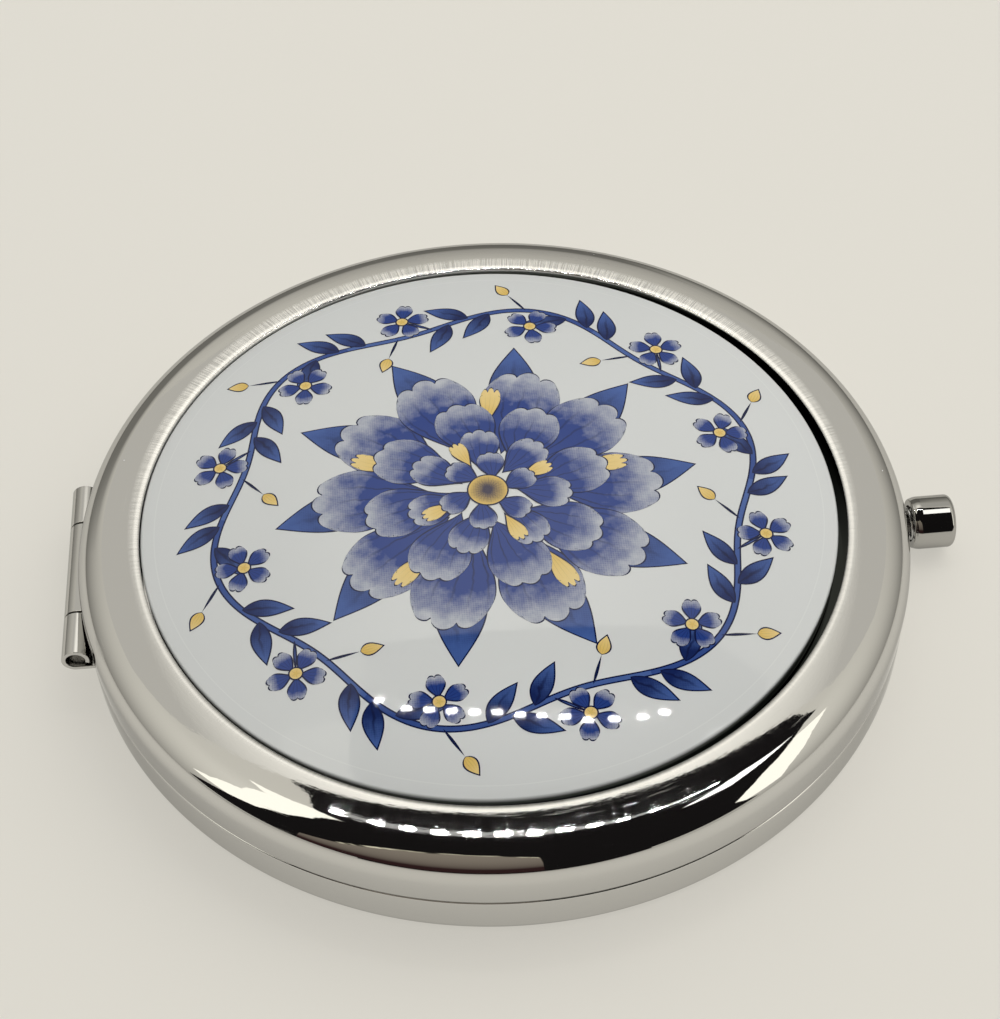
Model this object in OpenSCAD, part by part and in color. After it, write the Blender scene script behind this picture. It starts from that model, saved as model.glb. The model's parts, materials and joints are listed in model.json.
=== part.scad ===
// Round push-button compact mirror, chrome plated, with a domed porcelain disc in its lid.
// Millimetres. The origin is the centre of the base's underside, +X points to the button,
// the hinge is at -X and +Z is up. The compact is drawn closed.

/* [Case] */
// Diameter of the case
case_d = 70; // [60:0.5:80]
// Width of the chrome rim, from the edge of the case to the recess of the disc
rim_w = 5.4; // [5:0.1:6]
// Height of the base shell, from the table to its rim
base_h = 4.05; // [3.9:0.05:4.6]
// Thickness of the pressed shells
wall_t = 0.8; // [0.6:0.05:0.95]
// Rounding of the edge that meets the table
base_edge_r = 1; // [0.6:0.1:1.4]
// Rounding in the corner of the base's floor
floor_fillet_r = 0.4; // [0.2:0.1:0.8]
// Bevel of the two rims that meet at the parting line
rim_bevel = 0.14; // [0.08:0.02:0.3]
// Gap between the two rims when the case is shut
rim_gap = 0.12; // [0.08:0.02:0.3]

/* [Lid crown] */
// Height of the upright part of the lid's wall
lid_wall_h = 1.8; // [1.6:0.1:2.4]
// Width of the broad, nearly level top of the crown
crown_w = 1.9; // [1.6:0.1:2.2]
// Radius of that broad top, across the rim
crown_r = 32; // [24:1:60]
// Radius of the lip that rolls into the recess
lip_r = 0.55; // [0.4:0.05:0.75]

/* [Decor disc] */
// Height of the disc's upright edge
insert_edge_h = 1.65; // [1.2:0.05:2]
// Rounding between the edge and the dome
insert_edge_r = 0.35; // [0.2:0.05:0.6]
// Rise of the dome above the edge
insert_rise = 2.1; // [1:0.1:3]
// Gap round the disc in its recess
insert_gap = 0.6; // [0.4:0.05:0.9]
// Thickness of the glue under the disc
glue_t = 0.25; // [0.15:0.05:0.5]

/* [Mirrors] */
// Distance of both mirrors' edges inside the recess of the disc
mirror_step = 1.6; // [1.4:0.1:2.6]
// Thickness of the flat mirror in the lid
lid_mirror_t = 1.2; // [0.9:0.1:1.5]
// Edge thickness of the magnifying mirror in the base
base_mirror_t = 1.8; // [1.4:0.1:2]
// Depth of the hollow in the magnifying mirror
mirror_sag = 0.6; // [0.3:0.1:0.9]
// Bevel on the mirrors' edges
mirror_bevel = 0.2; // [0.1:0.05:0.4]
// Thickness of the foam tape behind the lid's mirror
lid_pad_t = 0.3; // [0.2:0.05:0.6]
// Distance of the foam tape from the mirror's edge
pad_inset = 1; // [0.5:0.25:3]
// Thickness of the pressed mirror frames
frame_t = 0.35; // [0.25:0.05:0.45]
// Width of frame that laps over each mirror
frame_lap = 0.7; // [0.4:0.1:1.5]
// Height of the frames' outer skirts
skirt_h = 0.9; // [0.5:0.1:1.2]
// Depth of the base's frame below the rim
base_frame_sink = 0.1; // [0.05:0.05:0.2]
// Depth of the lid's frame inside its rim
lid_frame_sink = 0.18; // [0.1:0.02:0.3]

/* [Hinge] */
// Length of the hinge
hinge_len = 18.4; // [16:0.2:20]
// Length of the lid's knuckle in the middle
knuckle_mid = 9.7; // [7:0.1:11]
// Gap between two knuckles
knuckle_gap = 0.15; // [0.1:0.05:0.3]
// Diameter of the hinge pin
pin_d = 1.5; // [1.2:0.1:1.6]
// Depth of the pin inside each end of the barrel
pin_recess = 0.3; // [0.1:0.1:1]
// Radial running clearance of the pin
pin_clear = 0.05; // [0.03:0.01:0.08]
// Thickness of the rolled hinge leaves
leaf_t = 0.35; // [0.25:0.05:0.4]
// Distance of the hinge axis outside the case
hinge_out = 0.2; // [0.15:0.05:0.5]
// Height of the hinge axis above the base's rim
hinge_up = 0.35; // [0.3:0.05:0.5]
// Angle of the slit left where a curl ends short of its leaf
curl_slit_a = 55; // [30:5:70]

/* [Button] */
// Diameter of the button
cap_d = 4.6; // [4:0.1:4.8]
// Length of the button
cap_l = 3.65; // [3:0.05:5]
// Gap between the case and the button at rest
cap_gap = 1.3; // [1.2:0.05:2]
// Travel of the button
button_travel = 1; // [0.8:0.05:1.1]
// Height of the button above the table
button_lift = 0.2; // [0.1:0.05:0.3]
// Narrowing of the button's inner end
cap_taper = 0.15; // [0.05:0.05:0.3]
// Length of that narrowing
cap_taper_l = 0.8; // [0.4:0.1:1.2]
// Rounding of the button's outer edge
cap_edge_r = 0.5; // [0.2:0.1:1]
// Thickness of the button's wall round its spring
cap_wall = 0.7; // [0.5:0.05:0.8]
// Thickness of the button's outer face
cap_face_t = 0.75; // [0.6:0.05:1]
// Diameter of the stem
stem_d = 1.6; // [1.2:0.1:1.7]
// Diameter of the two spigots that fix the stem
spigot_d = 0.9; // [0.7:0.05:1]
// Radial running clearance of the stem in the wall
stem_clear = 0.05; // [0.03:0.01:0.08]
// Wire of the return spring
wire_d = 0.3; // [0.25:0.01:0.32]
// Turns of the return spring
spring_turns = 5; // [4:0.5:5]

/* [Latch] */
// Thickness of the latch slide
slide_t = 0.45; // [0.35:0.05:0.5]
// Width of the latch slide
slide_w = 4.2; // [3.8:0.1:5]
// Width of the rails beside the slide's window
rail_w = 0.5; // [0.4:0.05:0.6]
// Overlap of the slide over the striker's nose
catch_lap = 0.45; // [0.3:0.05:0.6]
// Thickness of the striker
striker_t = 0.4; // [0.3:0.05:0.5]
// Length of the striker's nose
nose_l = 0.8; // [0.7:0.05:1]
// Height of the striker's nose
nose_h = 0.8; // [0.6:0.05:0.95]
// Height of the flat end of the nose
nose_tip_h = 0.3; // [0.2:0.05:0.4]
// Width of the striker's foot
striker_foot_w = 6.6; // [6:0.2:9]
// Thickness of the bracket that carries the slide
bracket_t = 0.4; // [0.3:0.05:0.5]
// Length of each foot of the bracket
bracket_foot_l = 1.9; // [1.2:0.1:3]
// Diameter of the rivets
rivet_d = 0.7; // [0.5:0.05:0.8]
// Diameter of the rivet heads
rivet_head_d = 1.2; // [1:0.05:1.3]
// Height of the rivet heads
rivet_head_h = 0.3; // [0.2:0.05:0.4]

/* [Hidden] */
$fn = 96;

// Clearances that several pieces share
fit_gap = 0.1;
seat_gap = 0.02;
slide_gap = 0.15;
swing_gap = 0.2;
stop_gap = 0.2;
run_gap = 0.05;
over = 1;

// Case
case_r = case_d / 2;
inner_r = case_r - wall_t;
recess_r = case_r - rim_w;
pan_r = recess_r + wall_t;
lid_z = base_h + rim_gap;

// Mirror stack of the base, from the rim down
base_frame_z = base_h - base_frame_sink - frame_t;
base_mirror_z = base_frame_z - base_mirror_t;
mirror_r = recess_r - mirror_step;
frame_in_r = mirror_r - frame_lap;
frame_out_r = inner_r - fit_gap;
hollow_r = mirror_r - mirror_bevel;
hollow_steps = 12;
hollow_points = concat(
    [for (i = [0 : hollow_steps])
        let (share = i / hollow_steps)
        [hollow_r * share, base_mirror_t - mirror_sag * (1 - share * share)]],
    [[0, base_mirror_t + over]]
);

// Mirror stack of the lid, from the rim up to the disc
lid_frame_z = lid_z + lid_frame_sink;
lid_mirror_z = lid_frame_z + frame_t;
lid_pad_z = lid_mirror_z + lid_mirror_t;
pan_z = lid_pad_z + lid_pad_t;
recess_z = pan_z + wall_t;
insert_z = recess_z + glue_t;

// Lid crown: a broad arc that is level where the lip starts, then the shoulder's arc to the wall
lip_x = recess_r + lip_r;
crown_start_a = acos(crown_w / crown_r);
shoulder_r = (case_r - lip_x - crown_w) / (1 - cos(crown_start_a));
shoulder_c = [case_r - shoulder_r, lid_z + lid_wall_h];
crown_c = shoulder_c - (crown_r - shoulder_r) * [cos(crown_start_a), sin(crown_start_a)];
crown_z = crown_c[1] + crown_r;

// Disc, and its dome: a sphere that meets the edge's rounding
insert_r = recess_r - insert_gap;
insert_apex_z = insert_z + insert_edge_h + insert_rise;
dome_r = (insert_r * insert_r + insert_rise * insert_rise) / (2 * insert_rise);
dome_z = insert_apex_z - dome_r;
edge_cx = insert_r - insert_edge_r;
edge_cz = dome_z + sqrt(pow(dome_r - insert_edge_r, 2) - edge_cx * edge_cx);
edge_a = atan2(edge_cz - dome_z, edge_cx);

// Hinge
hinge_x = -(case_r + hinge_out);
hinge_z = base_h + hinge_up;
curl_in_r = pin_d / 2 + pin_clear;
curl_r = curl_in_r + leaf_t;
swing_r = curl_r + swing_gap;
slit_start_a = 20;
knuckle_y = knuckle_mid / 2 + knuckle_gap;
base_leg_x = -sqrt(pow(inner_r - floor_fillet_r, 2) - pow(hinge_len / 2, 2));
base_foot_x = -(mirror_r + pad_inset);
lid_leg_x = -(pan_r + inner_r) / 2 - leaf_t / 2;

// Rivets stand on one ring, between the lid's mirror and the wall of the recess
rivet_ring_r = mirror_r + swing_gap + rivet_head_d / 2 + slide_gap;
foot_end_x = mirror_r + swing_gap;
hinge_rivet_y = knuckle_mid / 3;
hinge_rivet_x = -sqrt(pow(rivet_ring_r, 2) - pow(hinge_rivet_y, 2));

// Button and its spring, along X
cap_r = cap_d / 2;
stem_r = stem_d / 2;
spigot_r = spigot_d / 2;
button_z = cap_r + button_lift;
cap_x = case_r + cap_gap;
cup_r = cap_r - cap_wall;
cup_l = cap_l - cap_face_t;
press_l = cap_face_t / 2;
spring_r = cup_r - fit_gap - wire_d;
spring_x0 = case_r + run_gap;
spring_x1 = cap_x + cup_l - run_gap;
rings_per_turn = 8;
wire_sides = 6;

// Latch, from the wall inwards
tab_x = inner_r - stop_gap;
tab_in_x = tab_x - slide_t;
head_x = tab_in_x - rivet_head_h;
leg_out_x = head_x - button_travel - slide_gap;
leg_in_x = leg_out_x - striker_t;
nose_x = leg_in_x - nose_l;
catch_x = nose_x + catch_lap;
bracket_x0 = mirror_r + 2 * swing_gap;
tongue_x = bracket_x0 + button_travel;
tongue_z = base_frame_z - swing_gap - slide_t;
nose_z = tongue_z - slide_gap - nose_h;
window_w = slide_w - 2 * rail_w;
leg_w = window_w - 2 * swing_gap;
bracket_x1 = nose_x - 2 * swing_gap;
bracket_top_z = tongue_z - run_gap;
striker_rivet_y = striker_foot_w / 2 - rivet_head_d / 2 - fit_gap;
striker_rivet_x = sqrt(pow(rivet_ring_r, 2) - pow(striker_rivet_y, 2));

// Round part of a corner that is taken off: the corner is at the origin, the body towards -X, -Y
module corner_waste(r) {
    difference() {
        translate([-r, -r])
            square([r + over, r + over]);
        translate([-r, -r])
            circle(r = r);
    }
}

// The same for a straight bevel
module bevel_waste(width) {
    polygon([[-width, 0], [0, -width], [over, -width], [over, over], [-width, over]]);
}

// Slice of a disc between two angles less than 100 degrees apart
module slice(r, a0, a1) {
    intersection() {
        circle(r = r, $fn = 256);
        polygon([[0, 0], 2 * r * [cos(a0), sin(a0)], 2 * r * [cos(a1), sin(a1)]]);
    }
}

// Moves a profile drawn in X and Z to the XZ plane and gives it a width along Y, centred
module across(width) {
    rotate([90, 0, 0])
        translate([0, 0, -width / 2])
            linear_extrude(height = width)
                children();
}

// Turns a profile of radius and length about the button's axis, length towards +X from x
module along_x(x) {
    translate([x, 0, button_z])
        rotate([0, 90, 0])
            rotate_extrude()
                children();
}

// Room that the hinge barrel takes and sweeps, in both shells and both frames
module barrel_room(width) {
    translate([hinge_x, 0, hinge_z])
        rotate([90, 0, 0])
            cylinder(r = swing_r, h = width, center = true);
}

// Base shell

module base_profile() {
    difference() {
        square([case_r, base_h]);
        translate([case_r, 0])
            mirror([0, 1])
                corner_waste(base_edge_r);
        translate([case_r, base_h])
            bevel_waste(rim_bevel);
        difference() {
            translate([0, wall_t])
                square([inner_r, base_h]);
            translate([inner_r, wall_t])
                mirror([0, 1])
                    corner_waste(floor_fillet_r);
        }
    }
}

module base_shell() {
    notch_x = base_leg_x + leaf_t;
    color("silver")
        difference() {
            rotate_extrude()
                base_profile();
            across(hinge_len + 2 * swing_gap)
                translate([-case_r - over, hinge_z - swing_r])
                    square([case_r + over + notch_x, base_h]);
            translate([tab_x, 0, button_z])
                rotate([0, 90, 0])
                    cylinder(r = stem_r + stem_clear, h = wall_t + stop_gap + over);
        }
}

// Mirrors, their pads and frames

module disc(r, t, z) {
    translate([0, 0, z])
        cylinder(r = r, h = t);
}

module mirror_profile(t) {
    polygon([
        [0, 0], [mirror_r - mirror_bevel, 0], [mirror_r, mirror_bevel],
        [mirror_r, t - mirror_bevel], [mirror_r - mirror_bevel, t], [0, t]
    ]);
}

module base_mirror_pad() {
    color("whitesmoke")
        disc(mirror_r - pad_inset, base_mirror_z - wall_t, wall_t);
}

module base_mirror() {
    color("lightsteelblue")
        translate([0, 0, base_mirror_z])
            rotate_extrude()
                difference() {
                    mirror_profile(base_mirror_t);
                    polygon(hollow_points);
                }
}

module lid_mirror_pad() {
    color("whitesmoke")
        disc(mirror_r - pad_inset, lid_pad_t, lid_pad_z);
}

module lid_mirror() {
    color("lightsteelblue")
        translate([0, 0, lid_mirror_z])
            rotate_extrude()
                mirror_profile(lid_mirror_t);
}

// Ring with a bevelled inner edge and a turned skirt. Its face is at zero, the skirt rises.
module frame_profile() {
    polygon([
        [frame_in_r + frame_t / 2, 0], [frame_out_r - frame_t / 2, 0],
        [frame_out_r, frame_t / 2], [frame_out_r, frame_t + skirt_h],
        [frame_out_r - frame_t, frame_t + skirt_h], [frame_out_r - frame_t, frame_t],
        [frame_in_r, frame_t], [frame_in_r, frame_t / 2]
    ]);
}

// Cuts the skirt away where the hinge leaves and the latch pass
module skirt_gaps(z) {
    gap_y = slide_w + 4 * swing_gap;
    translate([-case_r, -hinge_len / 2 - 2 * swing_gap, z])
        cube([case_r / 2, hinge_len + 4 * swing_gap, skirt_h + over]);
    translate([tongue_x, -gap_y / 2, z])
        cube([case_r / 2, gap_y, skirt_h + over]);
}

module base_mirror_frame() {
    slot_x = nose_x - swing_gap;
    slot_y = leg_w + 2 * swing_gap;
    color("gainsboro")
        difference() {
            translate([0, 0, base_frame_z + frame_t])
                mirror([0, 0, 1])
                    rotate_extrude()
                        frame_profile();
            translate([0, 0, base_frame_z])
                mirror([0, 0, 1])
                    skirt_gaps(0);
            barrel_room(hinge_len + 2 * swing_gap);
            translate([slot_x, -slot_y / 2, base_frame_z - over])
                cube([leg_out_x + swing_gap - slot_x, slot_y, frame_t + 2 * over]);
        }
}

module lid_mirror_frame() {
    slot_y = leg_w + 2 * run_gap;
    color("gainsboro")
        difference() {
            translate([0, 0, lid_frame_z])
                rotate_extrude()
                    frame_profile();
            skirt_gaps(lid_mirror_z);
            barrel_room(hinge_len + 2 * swing_gap);
            translate([leg_in_x - run_gap, -slot_y / 2, lid_frame_z - over])
                cube([striker_t + 2 * run_gap, slot_y, frame_t + 2 * over]);
        }
}

// Lid shell: one pressed sheet that runs up the wall, over the crown, down the lip and across

// Filled outline of wall, shoulder and crown, drawn in by a distance and cut to a window
module crown_fill(inset, window) {
    join_x = shoulder_c[0] + (shoulder_r - inset) * cos(crown_start_a);
    intersection() {
        union() {
            square([case_r - inset, shoulder_c[1]]);
            intersection() {
                translate(shoulder_c)
                    circle(r = shoulder_r - inset, $fn = 256);
                translate([join_x, shoulder_c[1]])
                    square([case_r - join_x, shoulder_r]);
            }
            intersection() {
                translate(crown_c)
                    circle(r = crown_r - inset, $fn = 256);
                translate([recess_r, shoulder_c[1]])
                    square([join_x - recess_r, shoulder_r + over]);
            }
        }
        polygon(window);
    }
}

module lid_profile() {
    mid_channel = pan_r + wall_t / 2;
    difference() {
        union() {
            crown_fill(0, [
                [lip_x, crown_z + over], [lip_x, pan_z], [mid_channel, pan_z],
                [mid_channel, lid_z], [case_r + over, lid_z], [case_r + over, crown_z + over]
            ]);
            translate([recess_r, pan_z])
                square([lip_r, crown_z - lip_r - pan_z]);
            translate([lip_x, crown_z - lip_r])
                slice(lip_r, 90, 180);
            translate([0, pan_z])
                square([lip_x, wall_t]);
        }
        crown_fill(wall_t, [
            [pan_r, crown_z], [pan_r, lid_z - over], [case_r, lid_z - over], [case_r, crown_z]
        ]);
        translate([case_r, lid_z])
            mirror([0, 1])
                bevel_waste(rim_bevel);
    }
}

module rivet_places(x, y) {
    for (side = [-1, 1])
        translate([x, side * y, 0])
            children();
}

module lid_shell() {
    slot_w = knuckle_mid + 2 * run_gap;
    color("silver")
        difference() {
            rotate_extrude()
                lid_profile();
            barrel_room(hinge_len + 2 * swing_gap);
            translate([-case_r - over, -slot_w / 2, lid_z - over])
                cube([
                    case_r - inner_r + 2 * over, slot_w,
                    hinge_z + curl_r + run_gap - lid_z + over
                ]);
            rivet_places(striker_rivet_x, striker_rivet_y)
                disc(rivet_d / 2 + seat_gap, wall_t + 2 * over, pan_z - over);
            rivet_places(hinge_rivet_x, hinge_rivet_y)
                disc(rivet_d / 2 + seat_gap, wall_t + 2 * over, pan_z - over);
        }
}

// Decor disc and its glue

module insert_glue() {
    color("ivory")
        disc(insert_r - pad_inset, glue_t, recess_z);
}

module decor_insert() {
    color("white")
        rotate_extrude()
            union() {
                translate([0, insert_z])
                    square([insert_r, edge_cz - insert_z]);
                translate([edge_cx, edge_cz])
                    slice(insert_edge_r, 0, edge_a);
                intersection() {
                    translate([0, dome_z])
                        circle(r = dome_r, $fn = 720);
                    polygon([
                        [0, edge_cz], [edge_cx, edge_cz],
                        [edge_cx, edge_cz] + insert_edge_r * [cos(edge_a), sin(edge_a)],
                        [edge_cx, insert_apex_z], [0, insert_apex_z + over]
                    ]);
                }
            }
}

// Hinge: rolled leaves, each a curl with a slit and a flat tail, bent to its shell

// Curl with its tail towards +X at the bottom, about the hinge axis
module curl_profile(tail_l) {
    difference() {
        circle(r = curl_r);
        circle(r = curl_in_r);
        rotate(-slit_start_a)
            mirror([0, 1])
                polygon([
                    [0, 0], 2 * curl_r * [1, 0],
                    2 * curl_r * [cos(curl_slit_a), sin(curl_slit_a)]
                ]);
    }
    translate([0, -curl_r])
        square([tail_l, leaf_t]);
}

module base_hinge_leaf() {
    knuckle_l = hinge_len / 2 - knuckle_y;
    plate_x = hinge_x + swing_r;
    plate_z = hinge_z - curl_r;
    color("silver") {
        for (side = [-1, 1])
            translate([hinge_x, side * (knuckle_y + knuckle_l / 2), hinge_z])
                across(knuckle_l)
                    curl_profile(base_leg_x + leaf_t - hinge_x);
        across(hinge_len)
            union() {
                translate([plate_x, plate_z])
                    square([base_leg_x + leaf_t - plate_x, leaf_t]);
                translate([base_leg_x, wall_t])
                    square([leaf_t, plate_z + leaf_t - wall_t]);
                translate([base_leg_x, wall_t])
                    square([base_foot_x - base_leg_x, leaf_t]);
            }
    }
}

module lid_hinge_leaf() {
    tail_z = hinge_z + curl_in_r;
    color("silver")
        difference() {
            union() {
                translate([hinge_x, 0, hinge_z])
                    across(knuckle_mid)
                        mirror([0, 1])
                            curl_profile(lid_leg_x + leaf_t - hinge_x);
                across(knuckle_mid)
                    union() {
                        translate([lid_leg_x, tail_z])
                            square([leaf_t, pan_z - tail_z]);
                        translate([lid_leg_x, pan_z - leaf_t])
                            square([-foot_end_x - lid_leg_x, leaf_t]);
                    }
            }
            rivet_places(hinge_rivet_x, hinge_rivet_y)
                disc(rivet_d / 2 + seat_gap, leaf_t + 2 * over, pan_z - leaf_t - over);
        }
}

module hinge_pin() {
    pin_l = hinge_len - 2 * pin_recess;
    color("gray")
        translate([hinge_x, 0, hinge_z])
            rotate([90, 0, 0])
                translate([0, 0, -pin_l / 2])
                    rotate_extrude()
                        difference() {
                            square([pin_d / 2, pin_l]);
                            translate([pin_d / 2, pin_l])
                                corner_waste(pin_d / 5);
                            translate([pin_d / 2, 0])
                                mirror([0, 1])
                                    corner_waste(pin_d / 5);
                        }
}

// Rivets that go up through a foot of the given thickness and end level in the recess
module foot_rivets(x, y, foot_t) {
    rivet_places(x, y) {
        disc(rivet_head_d / 2, rivet_head_h, pan_z - foot_t - rivet_head_h);
        disc(rivet_d / 2, foot_t + wall_t, pan_z - foot_t);
    }
}

module hinge_rivets() {
    color("gray")
        foot_rivets(hinge_rivet_x, hinge_rivet_y, leaf_t);
}

module striker_rivets() {
    color("gray")
        foot_rivets(striker_rivet_x, striker_rivet_y, striker_t);
}

// Button: a hollow cap on a stem, with the return spring inside the cap

module button_cap() {
    color("silver")
        along_x(cap_x)
            difference() {
                polygon([
                    [0, 0], [cap_r - cap_taper, 0], [cap_r, cap_taper_l],
                    [cap_r, cap_l], [0, cap_l]
                ]);
                translate([cap_r, cap_l])
                    corner_waste(cap_edge_r);
                translate([0, -over])
                    square([cup_r, cup_l + over]);
                square([spigot_r + seat_gap, cup_l + press_l]);
            }
}

module button_stem() {
    shank_l = cap_x + cup_l - tab_x;
    color("gray") {
        along_x(tab_x)
            square([stem_r, shank_l]);
        along_x(tab_x + shank_l)
            square([spigot_r, press_l]);
        along_x(tab_in_x)
            square([spigot_r, slide_t]);
        along_x(head_x)
            square([stem_r - run_gap, rivet_head_h]);
    }
}

function coil_centre(t) = [
    spring_x0 + wire_d / 2 + t * (spring_x1 - spring_x0 - wire_d),
    (spring_r + wire_d / 2) * cos(360 * spring_turns * t),
    button_z + (spring_r + wire_d / 2) * sin(360 * spring_turns * t)
];
coil_rings = round(spring_turns * rings_per_turn);
coil_pitch = (spring_x1 - spring_x0 - wire_d) / spring_turns;
coil_lead_a = atan2(coil_pitch, 2 * PI * (spring_r + wire_d / 2));

// One ring of the wire, square to the run of the coil
function coil_ring(t) = [
    for (k = [0 : wire_sides - 1])
        let (
            turn = 360 * spring_turns * t,
            outward = [0, cos(turn), sin(turn)],
            sideways = [
                cos(coil_lead_a),
                sin(coil_lead_a) * sin(turn),
                -sin(coil_lead_a) * cos(turn)
            ],
            a = 360 * k / wire_sides
        )
        coil_centre(t) + wire_d / 2 * (cos(a) * outward + sin(a) * sideways)
];

module button_spring() {
    points = [for (i = [0 : coil_rings]) each coil_ring(i / coil_rings)];
    last = coil_rings * wire_sides;
    sides = [
        for (i = [0 : coil_rings - 1], k = [0 : wire_sides - 1])
            let (
                a = i * wire_sides + k,
                b = i * wire_sides + (k + 1) % wire_sides,
                c = a + wire_sides,
                d = b + wire_sides
            )
            each [[a, b, d], [a, d, c]]
    ];
    ends = [for (k = [1 : wire_sides - 2]) each [[0, k + 1, k], [last, last + k, last + k + 1]]];
    color("lightgray")
        polyhedron(points = points, faces = concat(sides, ends));
}

coil_centres = [for (i = [0 : coil_rings]) coil_centre(i / coil_rings)];
coil_gap = min([
    for (i = [0 : coil_rings], j = [i + rings_per_turn / 2 : 1 : coil_rings])
        norm(coil_centres[i] - coil_centres[j])
]) - wire_d;
echo(str("Least gap between two turns of the button spring: ", coil_gap, " mm"));

// Latch: the slide on the stem, the bracket under it and the striker that hangs from the lid

module latch_slide() {
    bend_r = slide_t;
    color("gray")
        difference() {
            across(slide_w)
                difference() {
                    union() {
                        translate([tongue_x, tongue_z])
                            square([tab_x - tongue_x, slide_t]);
                        translate([tab_in_x, wall_t + swing_gap])
                            square([slide_t, tongue_z + slide_t - wall_t - swing_gap]);
                    }
                    translate([tab_x, tongue_z + slide_t])
                        corner_waste(bend_r);
                }
            translate([catch_x, -window_w / 2, tongue_z - over])
                cube([tab_in_x - catch_x, window_w, slide_t + 2 * over]);
            translate([tab_in_x - over, 0, button_z])
                rotate([0, 90, 0])
                    cylinder(r = spigot_r + seat_gap, h = slide_t + 2 * over);
        }
}

module latch_bracket() {
    top_w = slide_w + 2 * swing_gap + 2 * bracket_t;
    color("gray")
        translate([bracket_x0, 0, 0])
            rotate([90, 0, 90])
                linear_extrude(height = bracket_x1 - bracket_x0)
                    union() {
                        translate([-top_w / 2, bracket_top_z - bracket_t])
                            square([top_w, bracket_t]);
                        for (side = [0, 1])
                            mirror([side, 0]) {
                                translate([top_w / 2 - bracket_t, wall_t])
                                    square([bracket_t, bracket_top_z - wall_t]);
                                translate([top_w / 2 - bracket_t, wall_t])
                                    square([bracket_t + bracket_foot_l, bracket_t]);
                            }
                    }
}

module lid_striker() {
    color("gray")
        difference() {
            union() {
                across(striker_foot_w)
                    difference() {
                        translate([foot_end_x, pan_z - striker_t])
                            square([leg_out_x - foot_end_x, striker_t]);
                        translate([leg_out_x, pan_z])
                            corner_waste(striker_t);
                    }
                across(leg_w)
                    polygon([
                        [leg_out_x, pan_z - striker_t], [leg_out_x, nose_z], [leg_in_x, nose_z],
                        [nose_x, nose_z + nose_h - nose_tip_h], [nose_x, nose_z + nose_h],
                        [leg_in_x, nose_z + nose_h], [leg_in_x, pan_z - striker_t]
                    ]);
            }
            rivet_places(striker_rivet_x, striker_rivet_y)
                disc(rivet_d / 2 + seat_gap, striker_t + 2 * over, pan_z - striker_t - over);
        }
}

base_shell();
base_mirror_pad();
base_mirror();
base_mirror_frame();
base_hinge_leaf();
hinge_pin();
latch_bracket();
button_spring();
lid_shell();
lid_mirror_pad();
lid_mirror();
lid_mirror_frame();
lid_hinge_leaf();
hinge_rivets();
lid_striker();
striker_rivets();
insert_glue();
decor_insert();
button_cap();
button_stem();
latch_slide();
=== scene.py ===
# %% [markdown]
# A round push-button compact mirror
#
# The object is a chrome-plated case, 70 mm across, that lies shut on a pale table. A domed porcelain
# disc with a blue and gold print is set into its lid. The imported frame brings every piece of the
# construction at its true size, and this lesson models what shows of it again with smooth, finely
# divided surfaces, because polished metal shows each facet of a coarse mesh in its reflections.

# %% Load the frame
import json
import math
import bpy
from mathutils import Matrix, Vector


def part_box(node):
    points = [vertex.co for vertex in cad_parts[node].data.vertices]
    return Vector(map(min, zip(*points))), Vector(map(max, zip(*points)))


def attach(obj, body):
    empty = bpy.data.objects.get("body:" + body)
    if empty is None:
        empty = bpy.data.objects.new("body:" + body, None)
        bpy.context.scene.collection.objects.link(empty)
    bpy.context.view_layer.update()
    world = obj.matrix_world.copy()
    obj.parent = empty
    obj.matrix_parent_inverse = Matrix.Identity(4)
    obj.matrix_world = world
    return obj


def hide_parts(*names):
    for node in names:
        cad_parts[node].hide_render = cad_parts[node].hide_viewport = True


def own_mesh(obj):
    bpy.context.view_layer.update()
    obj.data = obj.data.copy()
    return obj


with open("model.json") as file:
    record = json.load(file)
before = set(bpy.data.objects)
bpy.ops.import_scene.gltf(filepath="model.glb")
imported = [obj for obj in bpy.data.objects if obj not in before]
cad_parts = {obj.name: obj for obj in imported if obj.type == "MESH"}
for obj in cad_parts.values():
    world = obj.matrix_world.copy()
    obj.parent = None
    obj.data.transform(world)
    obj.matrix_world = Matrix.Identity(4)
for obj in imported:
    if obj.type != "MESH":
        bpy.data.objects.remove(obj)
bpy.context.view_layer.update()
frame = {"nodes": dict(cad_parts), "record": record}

MM = 0.001

# %% [markdown]
# The photograph's camera comes first. A camera fitted to the case's rims looks down at 48.65 degrees
# from 174 mm away, rolled a little to the right, and the case is turned by 3.7 degrees under it. The
# lens follows from the fitted focal length in pixels and a sensor 36 mm wide.

# %% Camera
PHOTO_LONG_SIDE = 1019
FOCAL_PIXELS = 1991.3
SENSOR = 36.0
CAMERA_ELEVATION = math.radians(48.65)
CAMERA_ROLL = math.radians(-1.716)
CASE_TURN = math.radians(3.7)
CAMERA_DISTANCE = 174 * MM
CAMERA_ASIDE = 0.61 * MM
CAMERA_RAISED = 5.69 * MM


def camera_axes():
    """Right, up and back of the camera, and its place, in the frame of the case."""
    back = Vector((0, -math.cos(CAMERA_ELEVATION), math.sin(CAMERA_ELEVATION)))
    right = Vector((1, 0, 0))
    up = back.cross(right)
    place = back * CAMERA_DISTANCE + right * CAMERA_ASIDE + up * CAMERA_RAISED
    rolled_right = right * math.cos(CAMERA_ROLL) + up * math.sin(CAMERA_ROLL)
    rolled_up = up * math.cos(CAMERA_ROLL) - right * math.sin(CAMERA_ROLL)
    turn = Matrix.Rotation(-CASE_TURN, 3, "Z")
    return turn @ rolled_right, turn @ rolled_up, turn @ back, turn @ place


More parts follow.
